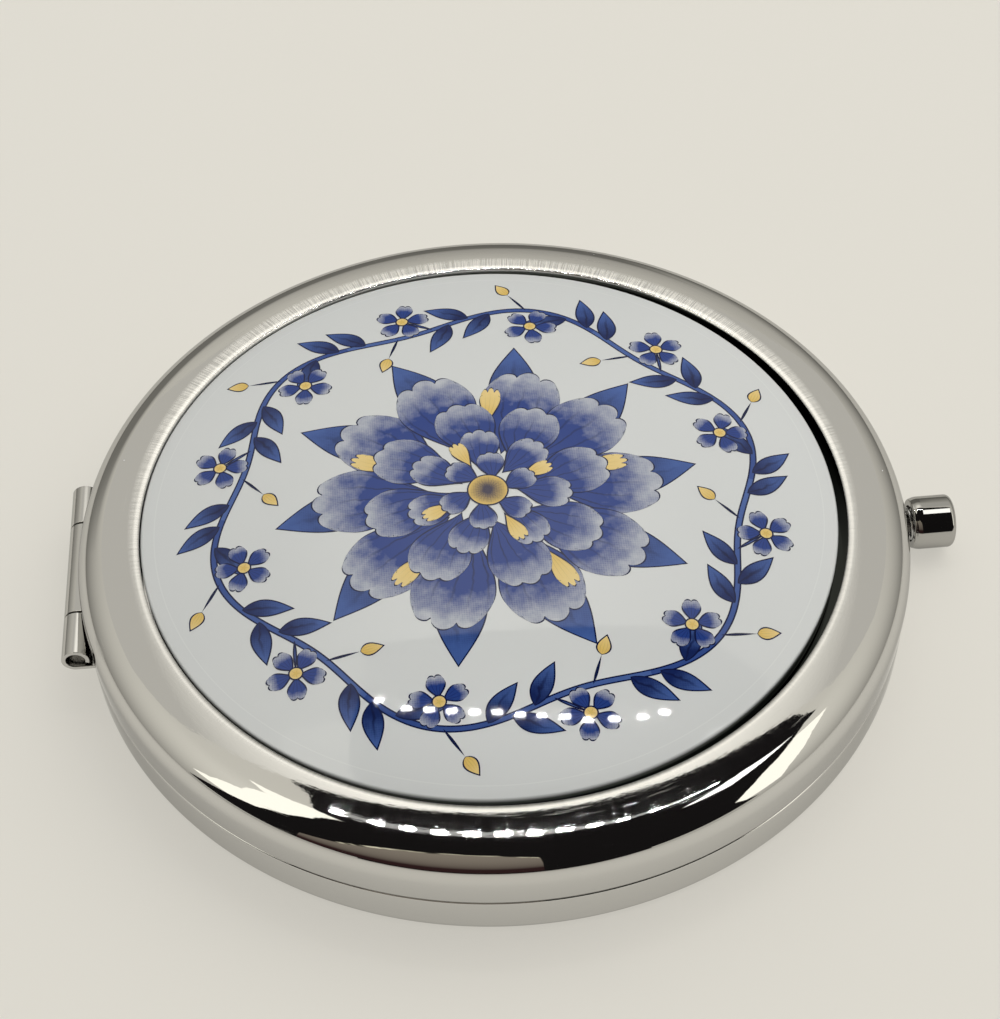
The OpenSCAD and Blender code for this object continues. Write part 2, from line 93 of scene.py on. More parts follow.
right, up, back, place = camera_axes()
camera_data = bpy.data.cameras.new("camera")
camera_data.sensor_width = SENSOR
camera_data.lens = SENSOR * FOCAL_PIXELS / PHOTO_LONG_SIDE
camera_data.clip_start = 1 * MM
camera = bpy.data.objects.new("camera", camera_data)
bpy.context.scene.collection.objects.link(camera)
camera.matrix_world = Matrix((right, up, back)).transposed().to_4x4()
camera.location = place
bpy.context.scene.camera = camera
print("Lens in mm:", round(camera_data.lens, 2), "camera at", [round(x / MM, 1) for x in place])

# %% [markdown]
# Most pieces here are round, so they are drawn as half a cross-section and spun about an axis. By hand
# one would merge a plane to a single vertex, extrude that vertex from point to point along the outline
# and then spin it. These helpers do the same: the outline's arcs come from a formula, and the spin is
# fine enough for the reflections to run smoothly.

# %% Helpers for modelling
SPIN_STEPS = 360
MERGE_DISTANCE = 0.002 * MM
SMOOTH_ANGLE = math.radians(28)


def start_alone():
    """Back to object mode with nothing selected."""
    if bpy.context.object and bpy.context.object.mode != "OBJECT":
        bpy.ops.object.mode_set(mode="OBJECT")
    bpy.ops.object.select_all(action="DESELECT")


def pick(*pieces):
    """Selects just these pieces and makes the first one active."""
    start_alone()
    for piece in pieces:
        piece.select_set(True)
    bpy.context.view_layer.objects.active = pieces[0]
    return pieces[0]


def named(name):
    """Names the piece that was just added."""
    piece = bpy.context.object
    piece.name = name
    piece.data.name = name
    return piece


def arc(centre, radius, start, end, steps):
    """Points on an arc between two angles in degrees, both ends included."""
    angles = [math.radians(start + (end - start) * i / steps) for i in range(steps + 1)]
    return [(centre[0] + radius * math.cos(a), centre[1] + radius * math.sin(a)) for a in angles]


def trace(name, points, closed=False):
    """Extrudes one vertex along an outline in the XZ plane."""
    start_alone()
    bpy.ops.mesh.primitive_plane_add(size=MM, location=(points[0][0], 0, points[0][1]))
    piece = named(name)
    bpy.ops.object.transform_apply(location=True, rotation=False, scale=False)
    bpy.ops.object.mode_set(mode="EDIT")
    bpy.ops.mesh.select_all(action="SELECT")
    bpy.ops.mesh.merge(type="CENTER")
    for here, there in zip(points, points[1:]):
        step = (there[0] - here[0], 0, there[1] - here[1])
        bpy.ops.mesh.extrude_region_move(TRANSFORM_OT_translate={"value": step})
    bpy.ops.mesh.select_all(action="SELECT")
    if closed:
        bpy.ops.mesh.edge_face_add()
    return piece


def tidy_mesh(piece):
    """Merges doubles and turns every face outwards, from edit mode, and shades the piece."""
    bpy.ops.mesh.select_all(action="SELECT")
    bpy.ops.mesh.remove_doubles(threshold=MERGE_DISTANCE)
    bpy.ops.mesh.normals_make_consistent(inside=False)
    bpy.ops.object.mode_set(mode="OBJECT")
    bpy.ops.object.shade_smooth_by_angle(angle=SMOOTH_ANGLE)
    return piece


def spun(name, points, centre=(0, 0, 0), axis=(0, 0, 1), steps=SPIN_STEPS):
    """A solid of revolution: the outline runs from the axis back to the axis, or round a ring."""
    piece = trace(name, points)
    bpy.ops.mesh.spin(steps=steps, angle=math.tau, center=centre, axis=axis)
    tidy_mesh(piece)
    print(name, "has", len(piece.data.polygons), "faces")
    return piece


def apply_modifier(piece, kind, **settings):
    """Adds a modifier, sets it and applies it."""
    pick(piece)
    modifier = piece.modifiers.new(kind.lower(), kind)
    for key, value in settings.items():
        setattr(modifier, key, value)
    bpy.ops.object.modifier_apply(modifier=modifier.name)
    return piece


def cut(piece, cutter):
    """Takes the cutter's shape out of the piece and removes the cutter."""
    apply_modifier(piece, "BOOLEAN", operation="DIFFERENCE", solver="EXACT", object=cutter)
    bpy.data.objects.remove(cutter)
    pick(piece)
    bpy.ops.object.shade_smooth_by_angle(angle=SMOOTH_ANGLE)
    return piece


def block(low, high):
    """A box between two corners, to cut with or to shape further."""
    start_alone()
    middle = [(a + b) / 2 for a, b in zip(low, high)]
    bpy.ops.mesh.primitive_cube_add(size=1, location=middle)
    bpy.context.object.scale = [b - a for a, b in zip(low, high)]
    bpy.ops.object.transform_apply(location=True, rotation=False, scale=True)
    return bpy.context.object


def rod(radius, length, middle, axis, vertices=128):
    """A cylinder about X, Y or Z, to cut with or to shape further."""
    start_alone()
    turn = {"X": (0, math.pi / 2, 0), "Y": (math.pi / 2, 0, 0), "Z": (0, 0, 0)}[axis]
    bpy.ops.mesh.primitive_cylinder_add(
        vertices=vertices, radius=radius, depth=length, location=middle, rotation=turn
    )
    bpy.ops.object.transform_apply(location=True, rotation=True, scale=False)
    return bpy.context.object


def joined(name, pieces):
    """Joins pieces into one mesh."""
    pick(*pieces)
    bpy.ops.object.join()
    return named(name)


# %% [markdown]
# The sizes come from the frame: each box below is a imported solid's, so the new pieces land exactly on
# the old ones. The few sizes that no box shows, such as the thickness of the sheet, are named here.

# %% Sizes from the frame
base_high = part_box("base_shell")[1]
lid_low, lid_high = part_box("lid_shell")
disc_low, disc_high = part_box("decor_insert")
pin_low, pin_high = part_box("hinge_pin")
CASE_R = base_high.y
BASE_RIM_Z = base_high.z
LID_RIM_Z = lid_low.z
CROWN_Z = lid_high.z
HINGE = Vector(((pin_low.x + pin_high.x) / 2, 0, (pin_low.z + pin_high.z) / 2))
SHEET_T = 0.8 * MM
INNER_R = CASE_R - SHEET_T
EDGE_ROUND = 1.0 * MM
FLOOR_FILLET = 0.4 * MM
RIM_ROUND = 0.12 * MM
print("Case radius", round(CASE_R / MM, 2), "rims at", round(BASE_RIM_Z / MM, 2), round(LID_RIM_Z / MM, 2))

# %% [markdown]
# The base is one pressed round pan. Its outline runs from the middle of the underside out to the
# rounded edge, up the wall, over the rim and back inside. The rim's edges are rounded, since a press
# never leaves a sharp one, and that thin rounding is what draws the bright line beside the dark gap
# between the two halves. The notch for the hinge and the bore for the button's stem are cut after the
# spin, as they are on the real pan.

# %% Base pan
HINGE_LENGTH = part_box("base_hinge_leaf")[1].y * 2
NOTCH_GAP = 0.2 * MM
CURL_OUT_R = 1.147 * MM
LEAF_T = 0.35 * MM
BASE_LEG_X = -math.sqrt((INNER_R - FLOOR_FILLET) ** 2 - (HINGE_LENGTH / 2) ** 2)
NOTCH_IN_X = BASE_LEG_X + LEAF_T


def base_outline():
    """Half of the pan's section, from the axis out and back to the axis."""
    out_rim = (CASE_R - RIM_ROUND, BASE_RIM_Z - RIM_ROUND)
    in_rim = (INNER_R + RIM_ROUND, BASE_RIM_Z - RIM_ROUND)
    points = [(0, 0)]
    points += arc((CASE_R - EDGE_ROUND, EDGE_ROUND), EDGE_ROUND, -90, 0, 14)
    points += arc(out_rim, RIM_ROUND, 0, 90, 6)
    points += arc(in_rim, RIM_ROUND, 90, 180, 6)
    points += arc((INNER_R - FLOOR_FILLET, SHEET_T + FLOOR_FILLET), FLOOR_FILLET, 0, -90, 6)
    return points + [(0, SHEET_T)]


base_pan = spun("base_pan", base_outline())
notch_half = HINGE_LENGTH / 2 + NOTCH_GAP
cut(base_pan, block(
    (-CASE_R - MM, -notch_half, HINGE.z - CURL_OUT_R - NOTCH_GAP),
    (NOTCH_IN_X, notch_half, BASE_RIM_Z + MM)
))

# %% [markdown]
# The button's stem passes through the wall of the pan opposite the hinge. Its bore is a twentieth of
# a millimetre wider all round than the stem, so that it slides freely, and is cut with a plain rod.

# %% Bore for the button's stem
stem_low, stem_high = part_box("button_stem")
BUTTON_Z = (stem_low.z + stem_high.z) / 2
STEM_R = (stem_high.z - stem_low.z) / 2
STEM_PLAY = 0.05 * MM
BUTTON_AT = Vector((CASE_R, 0, BUTTON_Z))
cut(base_pan, rod(STEM_R + STEM_PLAY, 4 * SHEET_T, BUTTON_AT, "X", vertices=64))
print("Base pan has", len(base_pan.data.polygons), "faces")

# %% [markdown]
# The lid is the piece that carries the picture: a narrow upright wall, a round shoulder, a broad and
# nearly level crown, and a lip that slopes a little towards the disc and ends in a crisp edge over the
# recess. In chrome these curves decide where every light and dark band falls, so they are true arcs
# that meet tangentially: the slope of the lip is what makes it mirror a bright band all round. The
# shoulder's radius follows from the widths of wall, crown and lip.

# %% Lid shell outline
RIM_WIDTH = 5.4 * MM
CROWN_WIDTH = 2.4 * MM
CROWN_R = 32 * MM
CROWN_INSET = 0.55 * MM
LIP_R = 1.6 * MM
LIP_EDGE_R = 0.12 * MM
RECESS_R = CASE_R - RIM_WIDTH
CROWN_X = RECESS_R + CROWN_INSET
CROWN_START = math.acos(CROWN_WIDTH / CROWN_R)
SHOULDER_R = (CASE_R - CROWN_X - CROWN_WIDTH) / (1 - math.cos(CROWN_START))
CROWN = (CROWN_X, CROWN_Z - CROWN_R)
SHOULDER = (CASE_R - SHOULDER_R, CROWN[1] + (CROWN_R - SHOULDER_R) * math.sin(CROWN_START))
LIP = (CROWN_X, CROWN_Z - LIP_R)
LIP_TILT = math.asin((CROWN_INSET - LIP_EDGE_R) / (LIP_R - LIP_EDGE_R))
LIP_EDGE = (RECESS_R + LIP_EDGE_R, LIP[1] + (LIP_R - LIP_EDGE_R) * math.cos(LIP_TILT))
RECESS_FLOOR_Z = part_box("insert_glue")[0].z
PAN_Z = RECESS_FLOOR_Z - SHEET_T
print("Shoulder radius in mm:", round(SHOULDER_R / MM, 3))


def lid_outline():
    """Half of the lid's section: up the wall, over crown and lip, across the recess and back."""
    shoulder_end = math.degrees(CROWN_START)
    crown_inside_start = math.degrees(math.acos(SHEET_T / (CROWN_R - SHEET_T)))
    points = arc((CASE_R - RIM_ROUND, LID_RIM_Z + RIM_ROUND), RIM_ROUND, -90, 0, 6)
    points += arc(SHOULDER, SHOULDER_R, 0, shoulder_end, 30)
    lip_end = 90 + math.degrees(LIP_TILT)
    points += arc(CROWN, CROWN_R, shoulder_end, 90, 14)[1:]
    points += arc(LIP, LIP_R, 90, lip_end, 10)[1:]
    points += arc(LIP_EDGE, LIP_EDGE_R, lip_end, 180, 8)[1:]
    points += [(RECESS_R, RECESS_FLOOR_Z), (0, RECESS_FLOOR_Z), (0, PAN_Z)]
    points += [(RECESS_R + SHEET_T, PAN_Z)]
    points += arc(CROWN, CROWN_R - SHEET_T, crown_inside_start, shoulder_end, 4)
    points += arc(SHOULDER, SHOULDER_R - SHEET_T, shoulder_end, 0, 12)[1:]
    points += arc((INNER_R + RIM_ROUND, LID_RIM_Z + RIM_ROUND), RIM_ROUND, 180, 270, 6)
    return points + [(CASE_R - RIM_ROUND, LID_RIM_Z)]


# %% [markdown]
# The outline is spun into the shell. Then the wall loses a round groove in which the base's knuckles
# turn, and a slot through which the lid's own knuckle reaches in.

# %% Lid shell
KNUCKLE_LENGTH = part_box("lid_hinge_leaf")[1].y * 2
KNUCKLE_PLAY = 0.05 * MM
lid_shell = spun("lid_shell_polished", lid_outline())
cut(lid_shell, rod(CURL_OUT_R + NOTCH_GAP, 2 * notch_half, HINGE, "Y"))
slot_half = KNUCKLE_LENGTH / 2 + KNUCKLE_PLAY
cut(lid_shell, block(
    (-CASE_R - MM, -slot_half, LID_RIM_Z - MM),
    (-INNER_R + MM, slot_half, HINGE.z + CURL_OUT_R + KNUCKLE_PLAY)
))
print("Lid shell has", len(lid_shell.data.polygons), "faces")

# %% [markdown]
# The disc is thick porcelain: an upright edge, a small rounding, and a dome that is part of a large
# sphere. It is the second large curve of the picture. Its top is kept a twentieth of a millimetre
# under the construction's, which leaves room for the print that lies on it, and it is drawn a little
# wider, because the gap round it is narrow on the real one.

# %% Decor disc
PRINT_ROOM = 0.05 * MM
DISC_WIDER = 0.2 * MM
DISC_R = disc_high.y + DISC_WIDER
DISC_EDGE_R = 0.25 * MM
DISC_RISE = 2.1 * MM
DOME_TOP_Z = disc_high.z - PRINT_ROOM
DOME_R = (DISC_R ** 2 + DISC_RISE ** 2) / (2 * DISC_RISE)
DOME_Z = DOME_TOP_Z - DOME_R
DISC_EDGE_X = DISC_R - DISC_EDGE_R
DISC_EDGE_Z = DOME_Z + math.sqrt((DOME_R - DISC_EDGE_R) ** 2 - DISC_EDGE_X ** 2)
DOME_START = math.degrees(math.atan2(DISC_EDGE_Z - DOME_Z, DISC_EDGE_X))


def disc_outline():
    """Half of the disc's section, from the axis out and back to the axis."""
    points = [(0, disc_low.z), (DISC_R - RIM_ROUND, disc_low.z), (DISC_R, disc_low.z + RIM_ROUND)]
    points += arc((DISC_EDGE_X, DISC_EDGE_Z), DISC_EDGE_R, 0, DOME_START, 10)
    return points + arc((0, DOME_Z), DOME_R, DOME_START, 90, 30)[1:]


disc = spun("porcelain_disc", disc_outline())

# %% [markdown]
# Two mirrors face each other inside. The one in the base magnifies, so its face is hollow: a shallow
# parabola, drawn with many points so that it mirrors without a ripple. The other one is flat.

# %% Mirrors
MIRROR_BEVEL = 0.2 * MM
HOLLOW_DEPTH = 0.6 * MM
HOLLOW_STEPS = 60


def mirror_outline(low, high, hollow_depth):
    """Half of a mirror's section; the hollow is in its upper face."""
    radius = high.y
    hollow_r = radius - MIRROR_BEVEL
    points = [(0, low.z), (hollow_r, low.z), (radius, low.z + MIRROR_BEVEL)]
    points.append((radius, high.z - MIRROR_BEVEL))
    shares = [1 - i / HOLLOW_STEPS for i in range(HOLLOW_STEPS + 1)]
    points += [(hollow_r * s, high.z - hollow_depth * (1 - s * s)) for s in shares]
    return points


magnifying_mirror = spun("magnifying_mirror", mirror_outline(*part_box("base_mirror"), HOLLOW_DEPTH))
flat_mirror = spun("flat_mirror", mirror_outline(*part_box("lid_mirror"), 0))

# %% [markdown]
# Each mirror is held by a pressed ring with a rounded inner edge and a skirt that reaches back over
# the glass. Both rings have the same section, one the other way up. The skirts are cut away at the
# hinge and at the catch, and the striker passes through a small slot in each ring.

# %% Mirror frames
FRAME_T = 0.35 * MM
FRAME_LAP = 0.7 * MM
FRAME_IN_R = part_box("base_mirror")[1].y - FRAME_LAP
FRAME_OUT_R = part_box("base_mirror_frame")[1].y
SKIRT_GAP_X = 29.4 * MM
SKIRT_GAP_Y = 2.5 * MM
BASE_SLOT = (30.7 * MM, -1.6 * MM), (32.3 * MM, 1.6 * MM)
LID_SLOT = (31.65 * MM, -1.45 * MM), (32.15 * MM, 1.45 * MM)


def frame_outline(face_z, back):
    """Section of a ring whose face is at face_z; back is 1 or -1, the way the skirt points."""
    half = FRAME_T / 2
    skirt_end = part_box("lid_mirror_frame")[1].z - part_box("lid_mirror_frame")[0].z
    points = [(FRAME_IN_R, FRAME_T)]
    points += arc((FRAME_IN_R + half, half), half, 180, 270, 6)
    points += arc((FRAME_OUT_R - half, half), half, -90, 0, 6)
    points += [(FRAME_OUT_R, skirt_end), (FRAME_OUT_R - FRAME_T, skirt_end)]
    points += [(FRAME_OUT_R - FRAME_T, FRAME_T), (FRAME_IN_R, FRAME_T)]
    return [(x, face_z + back * z) for x, z in points]


def fitted_frame(name, face_z, back, slot_low, slot_high):
    """A spun ring with the gaps for the hinge and the catch, and the striker's slot."""
    ring = spun(name, frame_outline(face_z, back))
    inside = face_z + back * FRAME_T
    outside = face_z + back * 2 * MM
    low_z, high_z = min(inside, outside), max(inside, outside)
    cut(ring, block(
        (-CASE_R, -notch_half - NOTCH_GAP, low_z), (-CASE_R / 2, notch_half + NOTCH_GAP, high_z)
    ))
    cut(ring, block((SKIRT_GAP_X, -SKIRT_GAP_Y, low_z), (CASE_R, SKIRT_GAP_Y, high_z)))
    cut(ring, rod(CURL_OUT_R + NOTCH_GAP, 2 * notch_half, HINGE, "Y"))
    cut(ring, block((slot_low[0], slot_low[1], face_z - MM), (slot_high[0], slot_high[1], face_z + MM)))
    return ring


base_frame = fitted_frame("base_frame_ring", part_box("base_mirror_frame")[1].z, -1, *BASE_SLOT)
lid_frame = fitted_frame("lid_frame_ring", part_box("lid_mirror_frame")[0].z, 1, *LID_SLOT)

# %% [markdown]
# The hinge is made of two leaves of thin sheet. Each is rolled round the pin into a curl that stops
# short and leaves a slit, and its tail is bent to lie against its shell. The open end of the front
# knuckle shows this roll. Each leaf is drawn as one bent strip seen from its end and extruded along
# the hinge. The base's leaf then loses its middle, where the lid's knuckle turns.

# %% Hinge leaves
CURL_IN_R = CURL_OUT_R - LEAF_T
SLIT_START = 20
LEAF_BEVEL = 0.06 * MM
LID_LEG_X = -(RECESS_R + SHEET_T + INNER_R) / 2 - LEAF_T / 2


def leaf_outline(side, leg_x, foot_x, sheet_z):
    """Strip seen from its end: side is -1 for a tail below the pin and 1 for a tail above it."""
    centre = (HINGE.x, HINGE.z)
    points = arc(centre, CURL_OUT_R, side * SLIT_START, -side * 270, 96)
    points += [(leg_x, HINGE.z + side * CURL_OUT_R), (leg_x, sheet_z), (foot_x, sheet_z)]
    points += [(foot_x, sheet_z - side * LEAF_T), (leg_x + LEAF_T, sheet_z - side * LEAF_T)]
    points += [(leg_x + LEAF_T, HINGE.z + side * CURL_IN_R)]
    return points + arc(centre, CURL_IN_R, -side * 270, side * SLIT_START, 96)


def strip(name, points, half_width):
    """Extrudes a closed outline along the hinge."""
    piece = trace(name, points, closed=True)
    bpy.ops.transform.translate(value=(0, -half_width, 0))
    bpy.ops.mesh.extrude_region_move(TRANSFORM_OT_translate={"value": (0, 2 * half_width, 0)})
    return tidy_mesh(piece)


def eased(piece, width, segments=3):
    """Rounds a piece's sharp edges a little."""
    apply_modifier(
        piece, "BEVEL", width=width, segments=segments, limit_method="ANGLE", angle_limit=math.radians(50)
    )
    bpy.ops.object.shade_smooth_by_angle(angle=SMOOTH_ANGLE)
    return piece


base_foot_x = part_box("base_hinge_leaf")[1].x
base_leaf = strip(
    "base_leaf_rolled", leaf_outline(-1, BASE_LEG_X, base_foot_x, SHEET_T), HINGE_LENGTH / 2
)
inner_knuckle = KNUCKLE_LENGTH / 2 + 3 * KNUCKLE_PLAY
cut(base_leaf, block(
    (-CASE_R - 2 * MM, -inner_knuckle, HINGE.z - 2 * MM),
    (HINGE.x + CURL_OUT_R + NOTCH_GAP, inner_knuckle, HINGE.z + 2 * MM)
))
eased(base_leaf, LEAF_BEVEL)
lid_foot_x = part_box("lid_hinge_leaf")[1].x
lid_leaf = strip("lid_leaf_rolled", leaf_outline(1, LID_LEG_X, lid_foot_x, PAN_Z), KNUCKLE_LENGTH / 2)
eased(lid_leaf, LEAF_BEVEL)
print("Leaves have", len(base_leaf.data.polygons), "and", len(lid_leaf.data.polygons), "faces")

# %% [markdown]
# The pin runs through all three knuckles. It stops a little way inside the outer ones, whose ends
# therefore look open and dark, and its own ends are rounded.

# %% Hinge pin
PIN_R = (pin_high.x - pin_low.x) / 2
PIN_HOLLOW = 1.2 * MM
PIN_END_ROUND = 0.3 * MM
pin = rod(PIN_R, pin_high.y - pin_low.y - 2 * PIN_HOLLOW, HINGE, "Y", vertices=96)
named("pin_rod")
eased(pin, PIN_END_ROUND, 6)
print("Pin is", round((pin_high.y - pin_low.y - 2 * PIN_HOLLOW) / MM, 2), "mm long")

# %% [markdown]
# The button is a short cup, turned and plated: its outer edge is rounded, its inner end tapers a
# little, and it is hollow, because its return spring sits inside and pushes against the case. Like
# the shells it is half a section that is spun, here about an axis that lies along the stem.

# %% Button cap
cap_low, cap_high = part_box("button_cap")
CAP_R = (cap_high.z - cap_low.z) / 2
CAP_EDGE_R = 0.5 * MM
CAP_TAPER = 0.15 * MM
CAP_TAPER_L = 0.8 * MM
CUP_R = 1.6 * MM
CUP_L = 2.9 * MM
SPIGOT_R = 0.47 * MM
SPIGOT_L = 0.375 * MM


def cap_outline():
    """Half of the cap's section above its axis, from the outer face round to the cup's floor."""
    edge = (cap_high.x - CAP_EDGE_R, BUTTON_Z + CAP_R - CAP_EDGE_R)
    rim_r = CAP_R - CAP_TAPER
    points = [(cap_high.x, BUTTON_Z)] + arc(edge, CAP_EDGE_R, 0, 90, 12)
    shares = [i / 8 for i in range(9)]
    points += [
        (cap_low.x + CAP_TAPER_L - (CAP_TAPER_L - RIM_ROUND) * s, BUTTON_Z + CAP_R - CAP_TAPER * s * s)
        for s in shares
    ]
    points += arc((cap_low.x + RIM_ROUND, BUTTON_Z + rim_r - RIM_ROUND), RIM_ROUND, 90, 180, 5)
    points += [(cap_low.x, BUTTON_Z + CUP_R), (cap_low.x + CUP_L, BUTTON_Z + CUP_R)]
    points += [(cap_low.x + CUP_L, BUTTON_Z + SPIGOT_R)]
    points += [(cap_low.x + CUP_L + SPIGOT_L, BUTTON_Z + SPIGOT_R)]
    return points + [(cap_low.x + CUP_L + SPIGOT_L, BUTTON_Z)]


cap = spun("cap_turned", cap_outline(), centre=(0, 0, BUTTON_Z), axis=(1, 0, 0), steps=192)

# %% [markdown]
# The return spring is wound from thin wire. It is a small circle that the Screw modifier carries along
# the button's axis for five turns, and both of its ends are then closed.

# %% Return spring
spring_low, spring_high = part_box("button_spring")
WIRE_R = 0.15 * MM
COIL_R = 1.35 * MM
COIL_TURNS = 5
COIL_STEPS = 40
coil_pitch = (spring_high.x - spring_low.x - 2 * WIRE_R) / COIL_TURNS
start_alone()
bpy.ops.mesh.primitive_circle_add(vertices=12, radius=WIRE_R, location=(0, COIL_R, 0))
spring = named("spring_coil")
bpy.ops.object.transform_apply(location=True, rotation=False, scale=False)
apply_modifier(
    spring, "SCREW", axis="X", angle=math.tau, screw_offset=coil_pitch, iterations=COIL_TURNS,
    steps=COIL_STEPS, render_steps=COIL_STEPS, use_smooth_shade=True
)
bpy.ops.object.mode_set(mode="EDIT")
bpy.ops.mesh.select_all(action="SELECT")
bpy.ops.mesh.fill_holes(sides=0)
bpy.ops.transform.translate(value=(spring_low.x + WIRE_R, 0, BUTTON_Z))
tidy_mesh(spring)
coil_xs = [v.co.x / MM for v in spring.data.vertices]
print("Spring runs from", round(min(coil_xs), 2), "to", round(max(coil_xs), 2), "mm")

# %% [markdown]
# The print is a blue and gold flower pattern, fired onto the glaze like a transfer. Each petal and
# leaf starts as a flat grid. It is fanned or tapered into its outline and laid onto the dome a few
# thousandths of a millimetre above its neighbour, so that nothing flickers. The grid's own two
# directions stay with it as coordinates: one runs from base to tip, which is the way the ink fades.
# Each point also keeps its distance to the outline, from which the thin dark contour is drawn.

# %% Helpers for the print
RING_STEP = 0.006 * MM
NEIGHBOUR_STEP = 0.002 * MM


def on_dome(x, y, lift):
    """The point of the dome over a place in the plane."""
    return Vector((x, y, DOME_Z + math.sqrt((DOME_R + lift) ** 2 - x * x - y * y)))


def patch(name, columns, rows, shape, spot=(0, 0), heading=0, lift=0):
    """A grid shaped by a function of its two directions, turned, moved to its spot and laid on."""
    start_alone()
    bpy.ops.mesh.primitive_grid_add(x_subdivisions=columns, y_subdivisions=rows, size=1, calc_uvs=True)
    piece = named(name)
    edge = piece.data.attributes.new("edge", "FLOAT", "POINT")
    turn = math.radians(heading)
    for vertex, value in zip(piece.data.vertices, edge.data):
        x, y, to_edge = shape(vertex.co.x + 0.5, vertex.co.y + 0.5)
        vertex.co = on_dome(
            (spot[0] + x * math.cos(turn) - y * math.sin(turn)) * MM,
            (spot[1] + x * math.sin(turn) + y * math.cos(turn)) * MM, lift
        )
        value.value = to_edge
    bpy.ops.object.mode_set(mode="EDIT")
    bpy.ops.mesh.select_all(action="SELECT")
    if piece.data.polygons[0].normal.z < 0:
        bpy.ops.mesh.flip_normals()
    bpy.ops.object.mode_set(mode="OBJECT")
    bpy.ops.object.shade_smooth()
    return piece


# %% [markdown]
# A shape is a function of the grid's two directions, each from 0 to 1, that gives a place in
# millimetres and the distance to the outline. Four are enough: a petal, a leaf, a dot and a band. The
# powers in them only make an outline fuller or slimmer.

# %% Shapes of the print
def fan(length, spread, lobes=3, depth=0.07, start=0.0):
    """A petal that fans out from a point, in millimetres, with a scalloped end."""
    half = math.radians(spread / 2)

    def shape(u, v):
        side = 2 * u - 1
        scallop = depth * (1 - abs(math.sin(lobes * math.pi * u)) ** 0.6)
        reach = length * v * (1 - v * v * (scallop + 0.10 * side * side))
        angle = side * half * (0.55 + 0.45 * math.sin(math.pi * v ** 0.8) ** 0.7)
        return start + reach * math.cos(angle), reach * math.sin(angle), min(
            (1 - abs(side)) * half * reach, (1 - v) * length
        )
    return shape


def blade(length, width, bend=0.0, belly=0.8):
    """A pointed leaf that may bend to one side."""
    def shape(u, v):
        side = 2 * u - 1
        half = width / 2 * math.sin(math.pi * v ** belly)
        return length * v, side * half + bend * v * v, (1 - abs(side)) * half
    return shape


def spot_round(radius):
    """A round dot."""
    def shape(u, v):
        angle = math.tau * u
        return radius * v * math.cos(angle), radius * v * math.sin(angle), (1 - v) * radius
    return shape


def band(path, width):
    """A strip along a path given as a function from 0 to 1, in millimetres."""
    def shape(u, v):
        here, there = Vector(path(v)), Vector(path(v + 0.001))
        run = (there - here).normalized()
        off = (u - 0.5) * width
        return here.x - run.y * off, here.y + run.x * off, (0.5 - abs(u - 0.5)) * width
    return shape


# %% [markdown]
# Everything in the print is repeated round the disc. Every other copy lies a hair higher than its
# neighbours, where they overlap, and a little sway keeps the rings from looking stamped.

# %% Copies round the disc
PRINT = []


def around(piece, count, lift_every_other=NEIGHBOUR_STEP, sway=0.0):
    """Copies a piece round the disc's axis, each with its own mesh, and joins the copies."""
    pieces = [piece]
    for i in range(1, count):
        twin = piece.copy()
        twin.data = piece.data.copy()
        bpy.context.scene.collection.objects.link(twin)
        pick(twin)
        angle = math.tau * i / count + sway * math.sin(2.4 * i)
        bpy.ops.transform.rotate(value=-angle, orient_axis="Z", center_override=(0, 0, 0))
        bpy.ops.transform.translate(value=(0, 0, lift_every_other * (i % 2)))
        bpy.ops.object.transform_apply(location=True, rotation=True, scale=True)
        pieces.append(twin)
    return joined(piece.name, pieces)


def printed(piece, ink_name):
    """Keeps a piece of the print and the ink it is printed with."""
    PRINT.append((piece, ink_name))


# %% [markdown]
# The middle of the disc holds a full flower: a ring of backing leaves, four rings of petals, gold
# tongues and gold petals between them, and a gold heart. Each ring is one petal, copied round. The
# table below gives each ring's first petal: its grid, its shape, its spot and heading, how many steps
# it lies above the glaze, how often it is copied, how far the copies sway, and its ink.

# %% Flower in the middle
FLOWER = [
    ("backing_leaf", 16, 28, blade(9.6, 4.4, 0.5), (8.4, 0), 8, 1 / 3, 10, 0.0, "leaf"),
    ("outer_petal", 30, 24, fan(10.6, 66), (4.2, 0), 0, 1.0, 10, 0.03, "petal"),
    ("gold_tongue", 12, 12, fan(4.8, 40, 3, 0.12), (7.4, 1.8), 9, 2.0, 5, 0.0, "gold"),
    ("second_petal", 28, 22, fan(7.6, 70), (3.2, 0), 20, 2.6, 8, 0.04, "petal"),
    ("third_petal", 24, 20, fan(5.0, 70), (2.2, 0), -12, 3.4, 7, 0.05, "petal"),
    ("gold_petal", 12, 12, fan(3.4, 46, 3, 0.12), (2.6, 1.1), 25, 4.2, 4, 0.0, "gold"),
    ("inner_petal", 20, 16, fan(3.3, 74), (1.2, 0), 30, 4.8, 6, 0.06, "petal"),
]
for name, columns, rows, shape, spot, heading, steps_up, count, sway, ink_name in FLOWER:
    petal = patch(name, columns, rows, shape, spot, heading, steps_up * RING_STEP)
    printed(around(petal, count, sway=sway), ink_name)
HEART_R = 1.75
printed(patch("flower_heart", 40, 8, spot_round(HEART_R), (0, 0), 0, 5.8 * RING_STEP), "heart")
print("Rings in the flower:", len(FLOWER))

# %% [markdown]
# Round the flower runs a wreath: a waving stem with small five-petalled blossoms in its bends, pairs
# of dark leaves, and gold buds on short stalks. A sixth of it is drawn and copied round. All its
# places are shares of the stem's run in that sixth, and distances outwards from the stem.

# %% Wreath stem and leaves
WREATH_R = 22.2
WREATH_PARTS = 6
WAVE = 1.25
STEM_WIDTH = 0.62
LEAF_TURN = 48


def stem_path(v):
    """The stem's run in one sixth of the wreath, in millimetres."""
    angle = math.tau * v / WREATH_PARTS
    radius = WREATH_R + WAVE * math.sin(math.tau * v)
    return radius * math.cos(angle), radius * math.sin(angle)


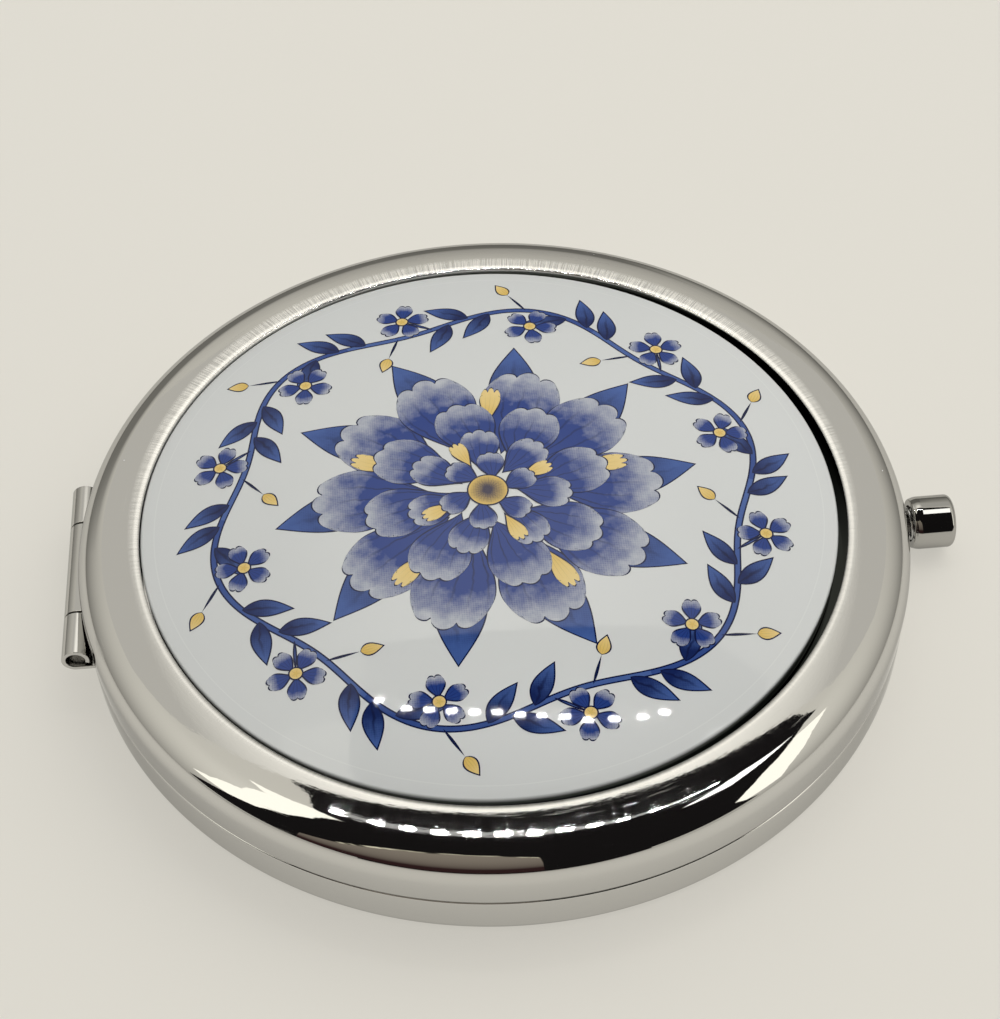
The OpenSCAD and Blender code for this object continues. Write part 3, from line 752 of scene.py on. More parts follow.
def on_wreath(share, out):
    """A place at a share of the stem's run and a distance outwards from it, and its heading."""
    here, there = Vector(stem_path(share)), Vector(stem_path(share + 0.001))
    run = (there - here).normalized()
    return here + Vector((run.y, -run.x)) * out, math.degrees(math.atan2(run.y, run.x))


def wreath(piece, ink_name):
    """Copies a piece into all six parts of the wreath."""
    printed(around(piece, WREATH_PARTS, 0), ink_name)


wreath(patch("stem", 4, 60, band(stem_path, STEM_WIDTH), lift=RING_STEP), "stem")
LEAVES = [(0.03, 1), (0.12, -1), (0.42, -1), (0.50, 1), (0.58, -1), (0.93, 1)]
for number, (share, side) in enumerate(LEAVES):
    spot, heading = on_wreath(share, 0)
    wreath(patch(
        "wreath_leaf_%d" % number, 12, 18, blade(4.3, 1.75, 0.5 * side), spot,
        heading - side * LEAF_TURN, 1.6 * RING_STEP
    ), "leaf")


# %% [markdown]
# A blossom is five copies of one small petal with a gold heart, and a bud is one gold leaf. Each
# stands beside the stem, on a thin stalk that starts a little further back on it.

# %% Wreath blossoms and buds
def stalk(name, share, foot_share, out, width, lift):
    """A thin stalk from the stem to a spot beside it; hands back the spot and the stalk's heading."""
    spot, foot = on_wreath(share, out)[0], on_wreath(foot_share, 0)[0]
    way = spot - foot
    lean = math.degrees(math.atan2(way.y, way.x))
    wreath(patch(name, 4, 16, blade(way.length, width), foot, lean, lift), "stem")
    return spot, lean


BLOSSOMS = [(0.25, -2.3), (0.75, 2.3)]
BUDS = [(0.34, 2.4), (0.86, -2.4)]
for number, (share, out) in enumerate(BLOSSOMS):
    spot, lean = stalk("stalk_%d" % number, share, share - 0.1, out, 0.34, 1.4 * RING_STEP)
    petals = [
        patch("blossom_petal_%d" % k, 14, 12, fan(2.3, 72, 2, 0.10, 0.2), spot, 72 * k + 20 * number,
              2 * RING_STEP + k * NEIGHBOUR_STEP)
        for k in range(5)
    ]
    wreath(joined("blossom_%d" % number, petals), "petal")
    wreath(patch("blossom_heart_%d" % number, 20, 5, spot_round(0.62), spot, 0, 4.4 * RING_STEP), "gold")
for number, (share, out) in enumerate(BUDS):
    spot, lean = stalk("bud_stalk_%d" % number, share, share - 0.06, out, 0.26, 1.2 * RING_STEP)
    wreath(patch("bud_%d" % number, 12, 14, blade(2.0, 1.25, 0, 0.7), spot, lean, 2 * RING_STEP), "gold")
print("Pieces in the wreath:", len(PRINT) - len(FLOWER) - 1)

# %% [markdown]
# A transfer is printed on a clear film, and the film's edge catches the light as a hardly visible pale
# line near the edge of the disc. This painted highlight is drawn as a very narrow round band.

# %% Edge of the film
FILM_R = 28.0
FILM_WIDTH = 0.10


def film_path(v):
    """A circle near the disc's edge, in millimetres."""
    return FILM_R * math.cos(math.tau * v), FILM_R * math.sin(math.tau * v)


printed(patch("film_edge", 3, 240, band(film_path, FILM_WIDTH), lift=RING_STEP), "film")
print("Printed pieces:", len(PRINT), "with", sum(len(piece.data.polygons) for piece, ink in PRINT), "faces")

# %% [markdown]
# Finishes are built from nodes. These small helpers add a node, link or set its inputs and hand back
# its output, so that each finish below reads as a short list of what happens to the metal or glaze.

# %% Helpers for nodes
def add(tree, kind, properties=None, **inputs):
    """Adds a node; an input takes a value or another node's output."""
    node = tree.nodes.new(kind)
    for key, value in (properties or {}).items():
        setattr(node, key, value)
    for key, value in inputs.items():
        connect(tree, value, node.inputs[key.replace("_", " ")])
    return node


def connect(tree, value, socket):
    """Links an output to an input, or sets the input's value."""
    if isinstance(value, bpy.types.NodeSocket):
        tree.links.new(value, socket)
    else:
        socket.default_value = value


def calc(tree, operation, *values):
    """A math node."""
    node = add(tree, "ShaderNodeMath", {"operation": operation})
    for socket, value in zip(node.inputs, values):
        connect(tree, value, socket)
    return node.outputs[0]


def times(tree, first, *others):
    """The product of some values."""
    for other in others:
        first = calc(tree, "MULTIPLY", first, other)
    return first


def plus(tree, first, *others):
    """The sum of some values."""
    for other in others:
        first = calc(tree, "ADD", first, other)
    return first


def minus(tree, first, second):
    """The difference of two values."""
    return calc(tree, "SUBTRACT", first, second)


def ramp(tree, value, low, high, to_low=0.0, to_high=1.0):
    """Maps a span of values to another one, clamped."""
    node = add(tree, "ShaderNodeMapRange", {"clamp": True}, Value=value)
    for key, number in (("From Min", low), ("From Max", high), ("To Min", to_low), ("To Max", to_high)):
        connect(tree, number, node.inputs[key])
    return node.outputs["Result"]


def blended(tree, share, first, second):
    """Mixes two colours."""
    node = add(tree, "ShaderNodeMix", {"data_type": "RGBA"}, Factor=share)
    connect(tree, first, node.inputs[6])
    connect(tree, second, node.inputs[7])
    return node.outputs[2]


# %% [markdown]
# The next helpers read the place on the object, make noise and bumps from it, and build a node group
# or a material. A group is built once and used in many materials, each time with its own values.

# %% Helpers for places, bumps and groups
def object_place(tree):
    """The place on the object, whole and split into x, y and z."""
    place = add(tree, "ShaderNodeTexCoord").outputs["Object"]
    return place, add(tree, "ShaderNodeSeparateXYZ", Vector=place).outputs


def noise(tree, place, scale, detail):
    """A noise value at a place."""
    return add(tree, "ShaderNodeTexNoise", Vector=place, Scale=scale, Detail=detail).outputs["Fac"]


def bump(tree, height, distance, **inputs):
    """A surface normal that follows a height."""
    return add(tree, "ShaderNodeBump", Height=height, Distance=distance, **inputs).outputs[0]


def effect(name, inputs, outputs):
    """A node group with named inputs and outputs, given as (kind, name, value)."""
    group = bpy.data.node_groups.new(name, "ShaderNodeTree")
    for in_out, sockets in (("INPUT", inputs), ("OUTPUT", outputs)):
        for kind, label, value in sockets:
            socket = group.interface.new_socket(label, in_out=in_out, socket_type="NodeSocket" + kind)
            if value is not None:
                socket.default_value = value
    return group, group.nodes.new("NodeGroupInput").outputs, group.nodes.new("NodeGroupOutput").inputs


def use(tree, group, **inputs):
    """Puts a node group into a material."""
    return add(tree, "ShaderNodeGroup", {"node_tree": group}, **inputs).outputs


def finish(name, **inputs):
    """A new material; hands back its tree and its main shader."""
    material = bpy.data.materials.new(name)
    material.use_nodes = True
    shader = material.node_tree.nodes["Principled BSDF"]
    for key, value in inputs.items():
        connect(material.node_tree, value, shader.inputs[key.replace("_", " ")])
    return material, material.node_tree, shader


# %% [markdown]
# Plated metal that has been handled is never a perfect mirror. Polishing leaves a slight swell in the
# surface, the buffing wheel leaves hairlines, use adds fine scratches along the rim, and a few specks
# of dust sit on top. One group makes all of this from the place on the object, so that every chromed
# piece shares it and only its amount differs. It starts with where a point lies round the case.

# %% Worn polish: the place round the case
polish, given, made = effect(
    "worn polish",
    [
        ("Float", "Swell", 1.0), ("Float", "Hairlines", 1.0), ("Float", "Scratches", 1.0),
        ("Float", "Base Roughness", 0.05)
    ],
    [
        ("Vector", "Normal", None), ("Float", "Roughness", None), ("Float", "Dust", None),
        ("Float", "Brushed", None), ("Float", "Recess Shade", None)
    ]
)
at, (at_x, at_y, at_z) = object_place(polish)
from_axis = calc(polish, "SQRT", plus(polish, times(polish, at_x, at_x), times(polish, at_y, at_y)))
off_axis = calc(polish, "MAXIMUM", from_axis, 1 * MM)
round_x = calc(polish, "DIVIDE", at_x, off_axis)
round_y = calc(polish, "DIVIDE", at_y, off_axis)
rim_place = plus(polish, from_axis, times(polish, at_z, 0.8))


def ring_noise(round_scale, across_place, detail=1.0):
    """Noise with one scale round the case and another across its rim."""
    place = add(
        polish, "ShaderNodeCombineXYZ", X=times(polish, round_x, round_scale),
        Y=times(polish, round_y, round_scale), Z=across_place
    ).outputs[0]
    return noise(polish, place, 1.0, detail)


# %% [markdown]
# The swell comes first, then the hairlines and the scratches, each a bump of a thousandth of a
# millimetre or so on the one before. Smudges and scratches also make the surface rougher.

# %% Worn polish: swell, hairlines and scratches
SWELL_HEIGHT = 0.0022 * MM
HAIR_HEIGHT = 0.0010 * MM
SCRATCH_DEPTH = 0.001 * MM
swell = noise(polish, at, 380, 3.0)
hairs = ring_noise(50, times(polish, rim_place, 7000))
along = ring_noise(5, times(polish, rim_place, 14000))
worn_here = ramp(polish, noise(polish, at, 120, 1.0), 0.45, 0.62)
scratch = times(polish, ramp(polish, along, 0.66, 0.74), worn_here, given["Scratches"])
swelled = bump(polish, swell, SWELL_HEIGHT, Strength=given["Swell"])
haired = bump(polish, hairs, HAIR_HEIGHT, Strength=given["Hairlines"], Normal=swelled)
scratched = add(
    polish, "ShaderNodeBump", {"invert": True}, Strength=0.5, Distance=SCRATCH_DEPTH, Height=scratch,
    Normal=haired
)
connect(polish, scratched.outputs[0], made["Normal"])
smudge = ramp(polish, noise(polish, at, 190, 3.0), 0.48, 0.72, 0.0, 0.012)
uneven = ramp(polish, ring_noise(110, rim_place, 2.0), 0.36, 0.62, 0.65, 1.25)
rough = plus(
    polish, times(polish, given["Base Roughness"], uneven), smudge, times(polish, scratch, 0.18)
)
connect(polish, rough, made["Roughness"])

# %% [markdown]
# Dust is a cell pattern: only a few of its cells are chosen, and each holds one small round speck.

# %% Worn polish: dust
DUST_CELLS = 900
DUST_CHOICE = 0.965
DUST_SIZE = 0.05
cells = add(polish, "ShaderNodeTexVoronoi", Vector=at, Scale=DUST_CELLS).outputs
cell_number = add(polish, "ShaderNodeSeparateColor", Color=cells["Color"]).outputs[0]
chosen = calc(polish, "GREATER_THAN", cell_number, DUST_CHOICE)
connect(polish, times(polish, chosen, calc(polish, "LESS_THAN", cells["Distance"], DUST_SIZE)), made["Dust"])

# %% [markdown]
# Fingers and cloths rub the lip round the disc most. It is worn to fine streaks across the rim, with a
# painted sheen, in a band that is wider on the far side. Below the lip, the recess wall gets painted
# shade: it is painted nearly black on the front and right-hand side, to deepen the thin gap round the disc.

# %% Worn polish: the lip and the recess
LIP_WORN_TO = 30.4 * MM
LIP_WORN_WIDER = 0.75 * MM
behind = ramp(polish, round_y, -0.2, 0.8)
worn_to = plus(polish, times(polish, behind, LIP_WORN_WIDER), LIP_WORN_TO)
near_lip = ramp(polish, minus(polish, from_axis, worn_to), -0.35 * MM, 0.05 * MM, 0.95, 0.0)
on_top = ramp(polish, at_z, CROWN_Z - 0.30 * MM, CROWN_Z - 0.16 * MM)
more_behind = ramp(polish, behind, 0.0, 1.0, 0.30, 1.0)
streaks = ramp(polish, ring_noise(300, times(polish, from_axis, 260), 3.0), 0.38, 0.58, 0.15, 1.0)
# Where the worn, brushed metal with its painted sheen is mixed in.
brushed = times(polish, near_lip, more_behind, on_top, streaks, given["Hairlines"])
connect(polish, brushed, made["Brushed"])
# Painted shade: the recess wall under the lip is painted nearly black, most on the front and right.
inside_wall = calc(polish, "LESS_THAN", from_axis, RECESS_R + 0.04 * MM)
under_lip = calc(polish, "LESS_THAN", at_z, LIP_EDGE[1] - 0.05 * MM)
over_floor = calc(polish, "GREATER_THAN", at_z, RECESS_FLOOR_Z - 0.05 * MM)
to_front_right = minus(polish, times(polish, round_x, 0.7), times(polish, round_y, 0.7))
shaded_side = ramp(polish, to_front_right, -0.45, 0.1)
connect(polish, times(polish, inside_wall, under_lip, over_floor, shaded_side), made["Recess Shade"])

# %% [markdown]
# Chrome is a metal with a low roughness and a slightly warm colour. The wheel ran round the case, so
# the surface spreads a lamp's image a little across the rim and hardly along it. Where the lip is worn
# a second, much more strongly brushed metal is mixed in, which catches light from far to each side; its
# colour is paler than the chrome's, a painted sheen on the real wear. The recess wall is painted nearly
# black as painted shade. Dust is pale and isn't metal.

# %% Chrome and steel
EDGE_TINT = (0.66, 0.66, 0.66, 1)
# Painted sheen: the worn lip's metal is paler than the chrome.
WORN_SHEEN_PAINTED = (0.96, 0.95, 0.93, 1)
# Painted shade for the recess wall.
GAP_SHADE_DARK = (0.03, 0.033, 0.03, 1)
DUST_GREY = (0.75, 0.75, 0.75, 1)
ACROSS_THE_RIM = 0.25
WHEEL_SPREAD = 0.85
WORN_SPREAD = 0.80
WORN_ROUGHNESS = 0.25


def chrome(name, colour, roughness, swell, hairlines, scratches):
    """Plated metal with the worn polish on it."""
    material, tree, shader = finish(name, Specular_Tint=EDGE_TINT)
    marks = use(
        tree, polish, Swell=swell, Hairlines=hairlines, Scratches=scratches, Base_Roughness=roughness
    )
    # Painted shade: the recess wall's plating is mixed towards near black.
    plated = blended(tree, marks["Recess Shade"], (*colour, 1), GAP_SHADE_DARK)
    connect(tree, blended(tree, marks["Dust"], plated, DUST_GREY), shader.inputs["Base Color"])
    connect(tree, minus(tree, 1.0, marks["Dust"]), shader.inputs["Metallic"])
    connect(tree, marks["Roughness"], shader.inputs["Roughness"])
    connect(tree, marks["Normal"], shader.inputs["Normal"])
    if hairlines:
        tangent = add(tree, "ShaderNodeTangent", {"direction_type": "RADIAL", "axis": "Z"}).outputs[0]
        connect(tree, tangent, shader.inputs["Tangent"])
        connect(tree, WHEEL_SPREAD, shader.inputs["Anisotropic"])
        connect(tree, ACROSS_THE_RIM, shader.inputs["Anisotropic Rotation"])
        # The worn metal's paler colour is a painted sheen.
        worn = add(
            tree, "ShaderNodeBsdfPrincipled", Base_Color=WORN_SHEEN_PAINTED, Metallic=1.0,
            Roughness=WORN_ROUGHNESS, Anisotropic=WORN_SPREAD, Specular_Tint=EDGE_TINT,
            Anisotropic_Rotation=ACROSS_THE_RIM, Normal=marks["Normal"], Tangent=tangent
        )
        both = add(tree, "ShaderNodeMixShader", Fac=marks["Brushed"])
        connect(tree, shader.outputs[0], both.inputs[1])
        connect(tree, worn.outputs[0], both.inputs[2])
        connect(tree, both.outputs[0], tree.nodes["Material Output"].inputs["Surface"])
    return material


FINISHES = {
    "case_chrome": chrome("case chrome", (0.665, 0.66, 0.645), 0.028, 1.0, 1.0, 1.0),
    "frame_chrome": chrome("frame chrome", (0.66, 0.66, 0.65), 0.05, 0.6, 0.4, 0.7),
    "hinge_chrome": chrome("hinge chrome", (0.62, 0.615, 0.60), 0.07, 1.4, 0.5, 1.0),
    # The button's chrome is painted darker than the case's: painted shade.
    "button_chrome": chrome("button chrome shaded", (0.47, 0.465, 0.45), 0.05, 0.3, 0.0, 0.5),
    "pin_steel": chrome("pin steel", (0.50, 0.49, 0.48), 0.22, 0.8, 0.6, 1.0),
    "latch_steel": chrome("latch steel", (0.56, 0.55, 0.53), 0.26, 0.8, 0.8, 1.0),
    "spring_steel": chrome("spring steel", (0.55, 0.55, 0.55), 0.18, 0.3, 0.3, 0.5),
}

# %% [markdown]
# Under the glaze the porcelain is a cool white. The glaze is clear and glossy and has pooled very
# slightly unevenly, which makes the row of lamps wobble in it. The edge of the disc gets painted shade:
# it is painted greyer just under the glaze and nearly black down in the gap.

# %% Porcelain
PALE = (0.66, 0.68, 0.68, 1)
EDGE_SHADE = (0.30, 0.33, 0.30, 1)
GAP_SHADE_BLACK = (0.02, 0.024, 0.022, 1)
POOL_HEIGHT = 0.006 * MM
CLEAR_GLAZE = {"Roughness": 0.28, "Coat_Roughness": 0.028, "Coat_IOR": 1.5}
glaze, given, made = effect("pooled glaze", [("Float", "Amount", 1.0)], [("Vector", "Normal", None)])
at = object_place(glaze)[0]
pooled = plus(
    glaze, noise(glaze, at, 110, 1.0), times(glaze, noise(glaze, at, 700, 2.0), 0.12),
    times(glaze, noise(glaze, at, 3200, 1.0), 0.05)
)
connect(glaze, bump(glaze, pooled, POOL_HEIGHT, Strength=given["Amount"]), made["Normal"])

porcelain, tree, shader = finish("porcelain", Coat_Weight=1.0, **CLEAR_GLAZE)
depth = object_place(tree)[1][2]
# Painted shade on the disc's edge: greyer under the glaze and nearly black deeper down.
edge_shade_mask = ramp(tree, depth, DISC_EDGE_Z - 0.10 * MM, DISC_EDGE_Z + 0.04 * MM, 1.0, 0.0)
gap_shade_mask = ramp(tree, depth, DISC_EDGE_Z - 0.50 * MM, DISC_EDGE_Z - 0.24 * MM, 1.0, 0.0)
edge_shade_colour = blended(tree, gap_shade_mask, EDGE_SHADE, GAP_SHADE_BLACK)
connect(tree, blended(tree, edge_shade_mask, PALE, edge_shade_colour), shader.inputs["Base Color"])
connect(tree, use(tree, glaze)["Normal"], shader.inputs["Coat Normal"])
FINISHES["porcelain"] = porcelain

# %% [markdown]
# The hidden pieces need little: silvered glass mirrors almost everything, the foam tape is matt and
# fine-pored, and the glue is a yellowish clear, painted darker as painted shade in the gap round the disc.

# %% Mirror glass, foam and glue
FINISHES["mirror_glass"] = finish(
    "mirror glass", Metallic=1.0, Roughness=0.004, Base_Color=(0.86, 0.89, 0.88, 1)
)[0]
foam_tape, tree, shader = finish("foam tape", Roughness=0.85, Base_Color=(0.66, 0.66, 0.62, 1))
pores = noise(tree, object_place(tree)[0], 2500, 2.0)
connect(tree, bump(tree, pores, 0.05 * MM), shader.inputs["Normal"])
FINISHES["foam_tape"] = foam_tape
# The glue's dark colour is partly painted shade for the gap round the disc.
FINISHES["clear_glue"] = finish(
    "clear glue shaded", Roughness=0.3, Base_Color=(0.30, 0.28, 0.22, 1), Coat_Weight=0.5
)[0]
print("Finishes:", ", ".join(FINISHES))

# %% [markdown]
# The ink lies in the same glaze as the white, so it shares its gloss. Each petal fades from cobalt at
# its base to bare white at its tip through a fine screen of dots, darker veins run up from its base,
# and a thin navy contour follows its outline. The gold ink is flat with the same contour.

# %% How ink is printed
NAVY = (0.006, 0.010, 0.050, 1)
SCREEN_DOTS = 5200
ink_group, given, made = effect(
    "printed ink",
    [
        ("Color", "Deep", (0.03, 0.06, 0.30, 1)), ("Color", "Pale", PALE),
        ("Float", "Fade Start", 0.2), ("Float", "Fade End", 0.95), ("Float", "Veins", 1.0),
        ("Float", "Vein Count", 5.0), ("Float", "Contour", 0.13)
    ],
    [("Color", "Color", None)]
)
coordinates = add(ink_group, "ShaderNodeTexCoord").outputs
grid = add(ink_group, "ShaderNodeSeparateXYZ", Vector=coordinates["UV"]).outputs
to_edge = add(ink_group, "ShaderNodeAttribute", {"attribute_name": "edge"}).outputs["Fac"]
brush = minus(ink_group, noise(ink_group, coordinates["Object"], 900, 3.0), 0.5)
reach = plus(ink_group, grid[1], times(ink_group, brush, 0.45))
fade = ramp(ink_group, reach, given["Fade Start"], given["Fade End"])
screen = add(
    ink_group, "ShaderNodeTexVoronoi", {"feature": "F1"}, Vector=coordinates["Object"],
    Scale=SCREEN_DOTS, Randomness=0.15
).outputs["Distance"]
half_faded = times(ink_group, fade, minus(ink_group, 1.0, fade), 1.5)
dotted = plus(ink_group, fade, times(ink_group, minus(ink_group, screen, 0.45), half_faded))
wash = blended(ink_group, ramp(ink_group, dotted, 0.0, 1.0), given["Deep"], given["Pale"])
vein_place = plus(ink_group, times(ink_group, grid[0], given["Vein Count"]), times(ink_group, brush, 0.5))
vein_off = calc(ink_group, "ABSOLUTE", minus(ink_group, calc(ink_group, "FRACT", vein_place), 0.5))
vein = times(
    ink_group, ramp(ink_group, vein_off, 0.03, 0.10, 1.0, 0.0),
    ramp(ink_group, grid[1], 0.35, 0.85, 0.8, 0.0), given["Veins"]
)
veined = blended(ink_group, vein, wash, NAVY)
contour = calc(ink_group, "LESS_THAN", to_edge, given["Contour"])
connect(ink_group, blended(ink_group, contour, veined, NAVY), made["Color"])

# %% [markdown]
# Each ink is this group with its own deep and pale colour. Blue petals fade slowly, leaves are nearly
# black with a single vein, and the film's edge is a painted highlight, only a little paler than the glaze.

# %% Inks
GOLD = (0.72, 0.50, 0.14, 1)
# A painted highlight: the film's edge catching the light.
FILM_EDGE_HIGHLIGHT = (0.71, 0.73, 0.725, 1)


def ink(name, **inputs):
    """A printed finish with the disc's glaze over it; only the glaze mirrors, so the ink stays deep."""
    material, tree, shader = finish(name, Specular_IOR_Level=0.0, Coat_Weight=0.9, **CLEAR_GLAZE)
    connect(tree, use(tree, ink_group, **inputs)["Color"], shader.inputs["Base Color"])
    connect(tree, use(tree, glaze)["Normal"], shader.inputs["Coat Normal"])
    return material


INKS = {
    "petal": ink("petal ink", Deep=(0.020, 0.050, 0.235, 1), Fade_Start=0.60, Fade_End=1.22),
    "leaf": ink("leaf ink", Deep=(0.008, 0.019, 0.10, 1), Pale=(0.06, 0.12, 0.36, 1), Vein_Count=1.0),
    "stem": ink("stem ink", Deep=(0.035, 0.075, 0.27, 1), Pale=(0.07, 0.13, 0.36, 1), Veins=0.0),
    "gold": ink("gold ink", Deep=GOLD, Pale=(0.80, 0.62, 0.27, 1), Veins=0.35),
    "film": ink("film edge highlight", Deep=FILM_EDGE_HIGHLIGHT, Pale=FILM_EDGE_HIGHLIGHT, Veins=0.0, Contour=0.0),
    "heart": ink("heart ink", Deep=(0.06, 0.05, 0.08, 1), Pale=GOLD, Veins=1.0, Vein_Count=24.0),
}
for piece, ink_name in PRINT:
    piece.data.materials.clear()
    piece.data.materials.append(INKS[ink_name])
print("Inks:", ", ".join(INKS))

# %% [markdown]
# The disc was glued in by hand, so it sits a little off centre: the gap round it is narrow at the left
# and the back and wide at the right and the front. The disc and its print are moved together.

# %% The disc in its recess
DISC_SHIFT = Vector((-0.34, 0.18, 0)) * MM
for piece in [disc] + [piece for piece, ink_name in PRINT]:
    pick(piece)
    bpy.ops.transform.translate(value=DISC_SHIFT)
    bpy.ops.object.transform_apply(location=True, rotation=False, scale=False)
print("The disc sits", round(DISC_SHIFT.length / MM, 2), "mm off centre")

# %% [markdown]
# Each piece is hung on the body it moves with, and the construction's piece that it stands for is
# hidden. The table also names the material slot of its finish.

# %% Pieces and their bodies
DRESSED = [
    (base_pan, "base", "base_shell", "case_chrome"),
    (magnifying_mirror, "base", "base_mirror", "mirror_glass"),
    (base_frame, "base", "base_mirror_frame", "frame_chrome"),
    (base_leaf, "base", "base_hinge_leaf", "hinge_chrome"),
    (pin, "base", "hinge_pin", "pin_steel"),
    (spring, "base", "button_spring", "spring_steel"),
    (lid_shell, "lid", "lid_shell", "case_chrome"),
    (flat_mirror, "lid", "lid_mirror", "mirror_glass"),
    (lid_frame, "lid", "lid_mirror_frame", "frame_chrome"),
    (lid_leaf, "lid", "lid_hinge_leaf", "hinge_chrome"),
    (disc, "lid", "decor_insert", "porcelain"),
    (cap, "button", "button_cap", "button_chrome"),
]
for piece, body, node, slot in DRESSED:
    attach(piece, body)
    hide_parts(node)
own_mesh(spring)
for piece, ink_name in PRINT:
    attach(piece, "lid")
print("Dressed pieces:", len(DRESSED), "and printed ones:", len(PRINT))

# %% [markdown]
# The new pieces get the finish of their slot. The pads, the glue, the rivets, the stem and the flat
# latch parts are plain enough to be shown as the construction made them, in the same finishes.

# %% Finishes on the pieces
for piece, body, node, slot in DRESSED:
    piece.data.materials.clear()
    piece.data.materials.append(FINISHES[slot])
dressed_nodes = {node for piece, body, node, slot in DRESSED}
for part in frame["record"]["subparts"]:
    if part["node"] not in dressed_nodes:
        plain = frame["nodes"][part["node"]]
        plain.data.materials.clear()
        plain.data.materials.append(FINISHES[part["material_slot"]])
print("Pieces shown as constructed:", len(frame["nodes"]) - len(dressed_nodes))

# %% [markdown]
# The compact was photographed on a pale table inside a small light tent. What chrome looks like is
# what it mirrors, so the tent is built as far as it shows. Its cream walls get brighter upwards and
# towards the front, and its back wall is brighter still higher up. Only mirrored light sees them. The
# soft light that falls on the table comes mostly from behind and from the right.

# %% Tent
bpy.context.scene.view_settings.view_transform = "Standard"
BACKDROP = (0.730, 0.701, 0.610, 1)
WALL_CREAM = (1.0, 0.965, 0.86, 1)
SOFT_LIGHT = (0.80, 0.79, 0.76, 1)
world = bpy.data.worlds.new("tent")
bpy.context.scene.world = world
world.use_nodes = True
tree = world.node_tree
tree.nodes.clear()
direction = add(tree, "ShaderNodeTexCoord").outputs["Generated"]
to_right, to_back, to_top = add(tree, "ShaderNodeSeparateXYZ", Vector=direction).outputs
side_light = plus(
    tree, ramp(tree, to_top, 0.0, 0.60, 0.14, 0.50), ramp(tree, to_top, 0.60, 0.85, 0.0, 0.14),
    times(tree, minus(tree, 1.0, to_back), 0.26)
)
back_light = plus(
    tree, ramp(tree, to_top, 0.46, 0.63, 0.20, 0.70), ramp(tree, to_top, 0.76, 0.84, 0.0, 0.30)
)
back_light = times(tree, back_light, minus(tree, 1.0, times(tree, to_right, 0.25)))
is_back = times(tree, ramp(tree, to_back, 0.62, 0.80), ramp(tree, to_right, 0.20, 0.26, 1.0, 0.0))
wall_light = plus(
    tree, times(tree, back_light, is_back), times(tree, side_light, minus(tree, 1.0, is_back))
)
from_behind = plus(tree, times(tree, to_back, 0.85), times(tree, to_right, 0.45), 0.87)
from_behind = calc(tree, "MAXIMUM", from_behind, 0.02)
walls = add(tree, "ShaderNodeBackground", Color=WALL_CREAM, Strength=wall_light)
soft = add(tree, "ShaderNodeBackground", Color=SOFT_LIGHT, Strength=from_behind)
backdrop = add(tree, "ShaderNodeBackground", Color=BACKDROP, Strength=1.0)
ray = add(tree, "ShaderNodeLightPath").outputs
mirrored = add(tree, "ShaderNodeMixShader", Fac=ray["Is Glossy Ray"])
tree.links.new(soft.outputs[0], mirrored.inputs[1])
tree.links.new(walls.outputs[0], mirrored.inputs[2])
seen = add(tree, "ShaderNodeMixShader", Fac=ray["Is Camera Ray"])
tree.links.new(mirrored.outputs[0], seen.inputs[1])
tree.links.new(backdrop.outputs[0], seen.inputs[2])
add(tree, "ShaderNodeOutputWorld", Surface=seen.outputs[0])

# %% [markdown]
# The table is cream too. It keeps the object's shadow and glows a little, so that it is as pale as the
# tent, and it gets dimmer further out for mirrored light alone, because there the tent ends.

# %% Table
TABLE_SIZE = 12.0
start_alone()
bpy.ops.mesh.primitive_plane_add(size=TABLE_SIZE)
table_top = named("table")
table_finish, tree, shader = finish(
    "table top", Roughness=0.6, Base_Color=(0.30, 0.29, 0.262, 1), Specular_IOR_Level=0.1,
    Emission_Color=(0.470, 0.455, 0.415, 1)
)
far_away = add(
    tree, "ShaderNodeVectorMath", {"operation": "LENGTH"}, Vector=object_place(tree)[0]
).outputs["Value"]
is_mirrored = add(tree, "ShaderNodeLightPath").outputs["Is Glossy Ray"]
dimmer = times(tree, is_mirrored, ramp(tree, far_away, 0.05, 0.40, 0.0, 0.62))
connect(tree, minus(tree, 1.0, dimmer), shader.inputs["Emission Strength"])
table_top.data.materials.append(table_finish)

# %% [markdown]
# The tent is open above and in front, where the room is dark. That opening is a large black card over
# the object, with the outline that its image on the crown asks for, and a second card closes it far
# away. Cards like these are seen by mirrored light only and throw no shadow.

# %% Dark opening
CARD_Z = 275 * MM
CARD_GAP = 1 * MM
FAR_LEFT, FAR_RIGHT, FAR_Y = -4180, 3208, -6000
LEFT_EDGE = [
    (-4180, -1010), (-1178, -367), (-593, -245), (-364, -190), (-191, -96), (-122, -36), (-58, 56),
    (-55, 96), (-47, 121), (-49, 136)
]
RIGHT_EDGE = [
    (95, 136), (131, 103), (133, 85), (162, 37), (206, -34), (244, -106), (351, -246), (538, -462),
    (1053, -850), (3208, -2306)
]


def glow(name, colour, strength=1.0):
    """A material that only gives light."""
    material = bpy.data.materials.new(name)
    material.use_nodes = True
    tree = material.node_tree
    tree.nodes.clear()
    light = add(tree, "ShaderNodeEmission", Color=colour, Strength=strength)
    add(tree, "ShaderNodeOutputMaterial", Surface=light.outputs[0])
    return material, tree, light


def only_mirrored(flat, material):
    """Gives a card its light and leaves it to mirrored light alone."""
    flat.data.materials.append(material)
    for kind in ("camera", "diffuse", "shadow", "transmission", "volume_scatter"):
        setattr(flat, "visible_" + kind, False)


def card(name, corners, height, material):
    """A flat card with its corners in millimetres."""
    mesh = bpy.data.meshes.new(name)
    mesh.from_pydata([(x * MM, y * MM, height) for x, y in corners], [], [list(range(len(corners)))])
    flat = bpy.data.objects.new(name, mesh)
    bpy.context.scene.collection.objects.link(flat)
    only_mirrored(flat, material)


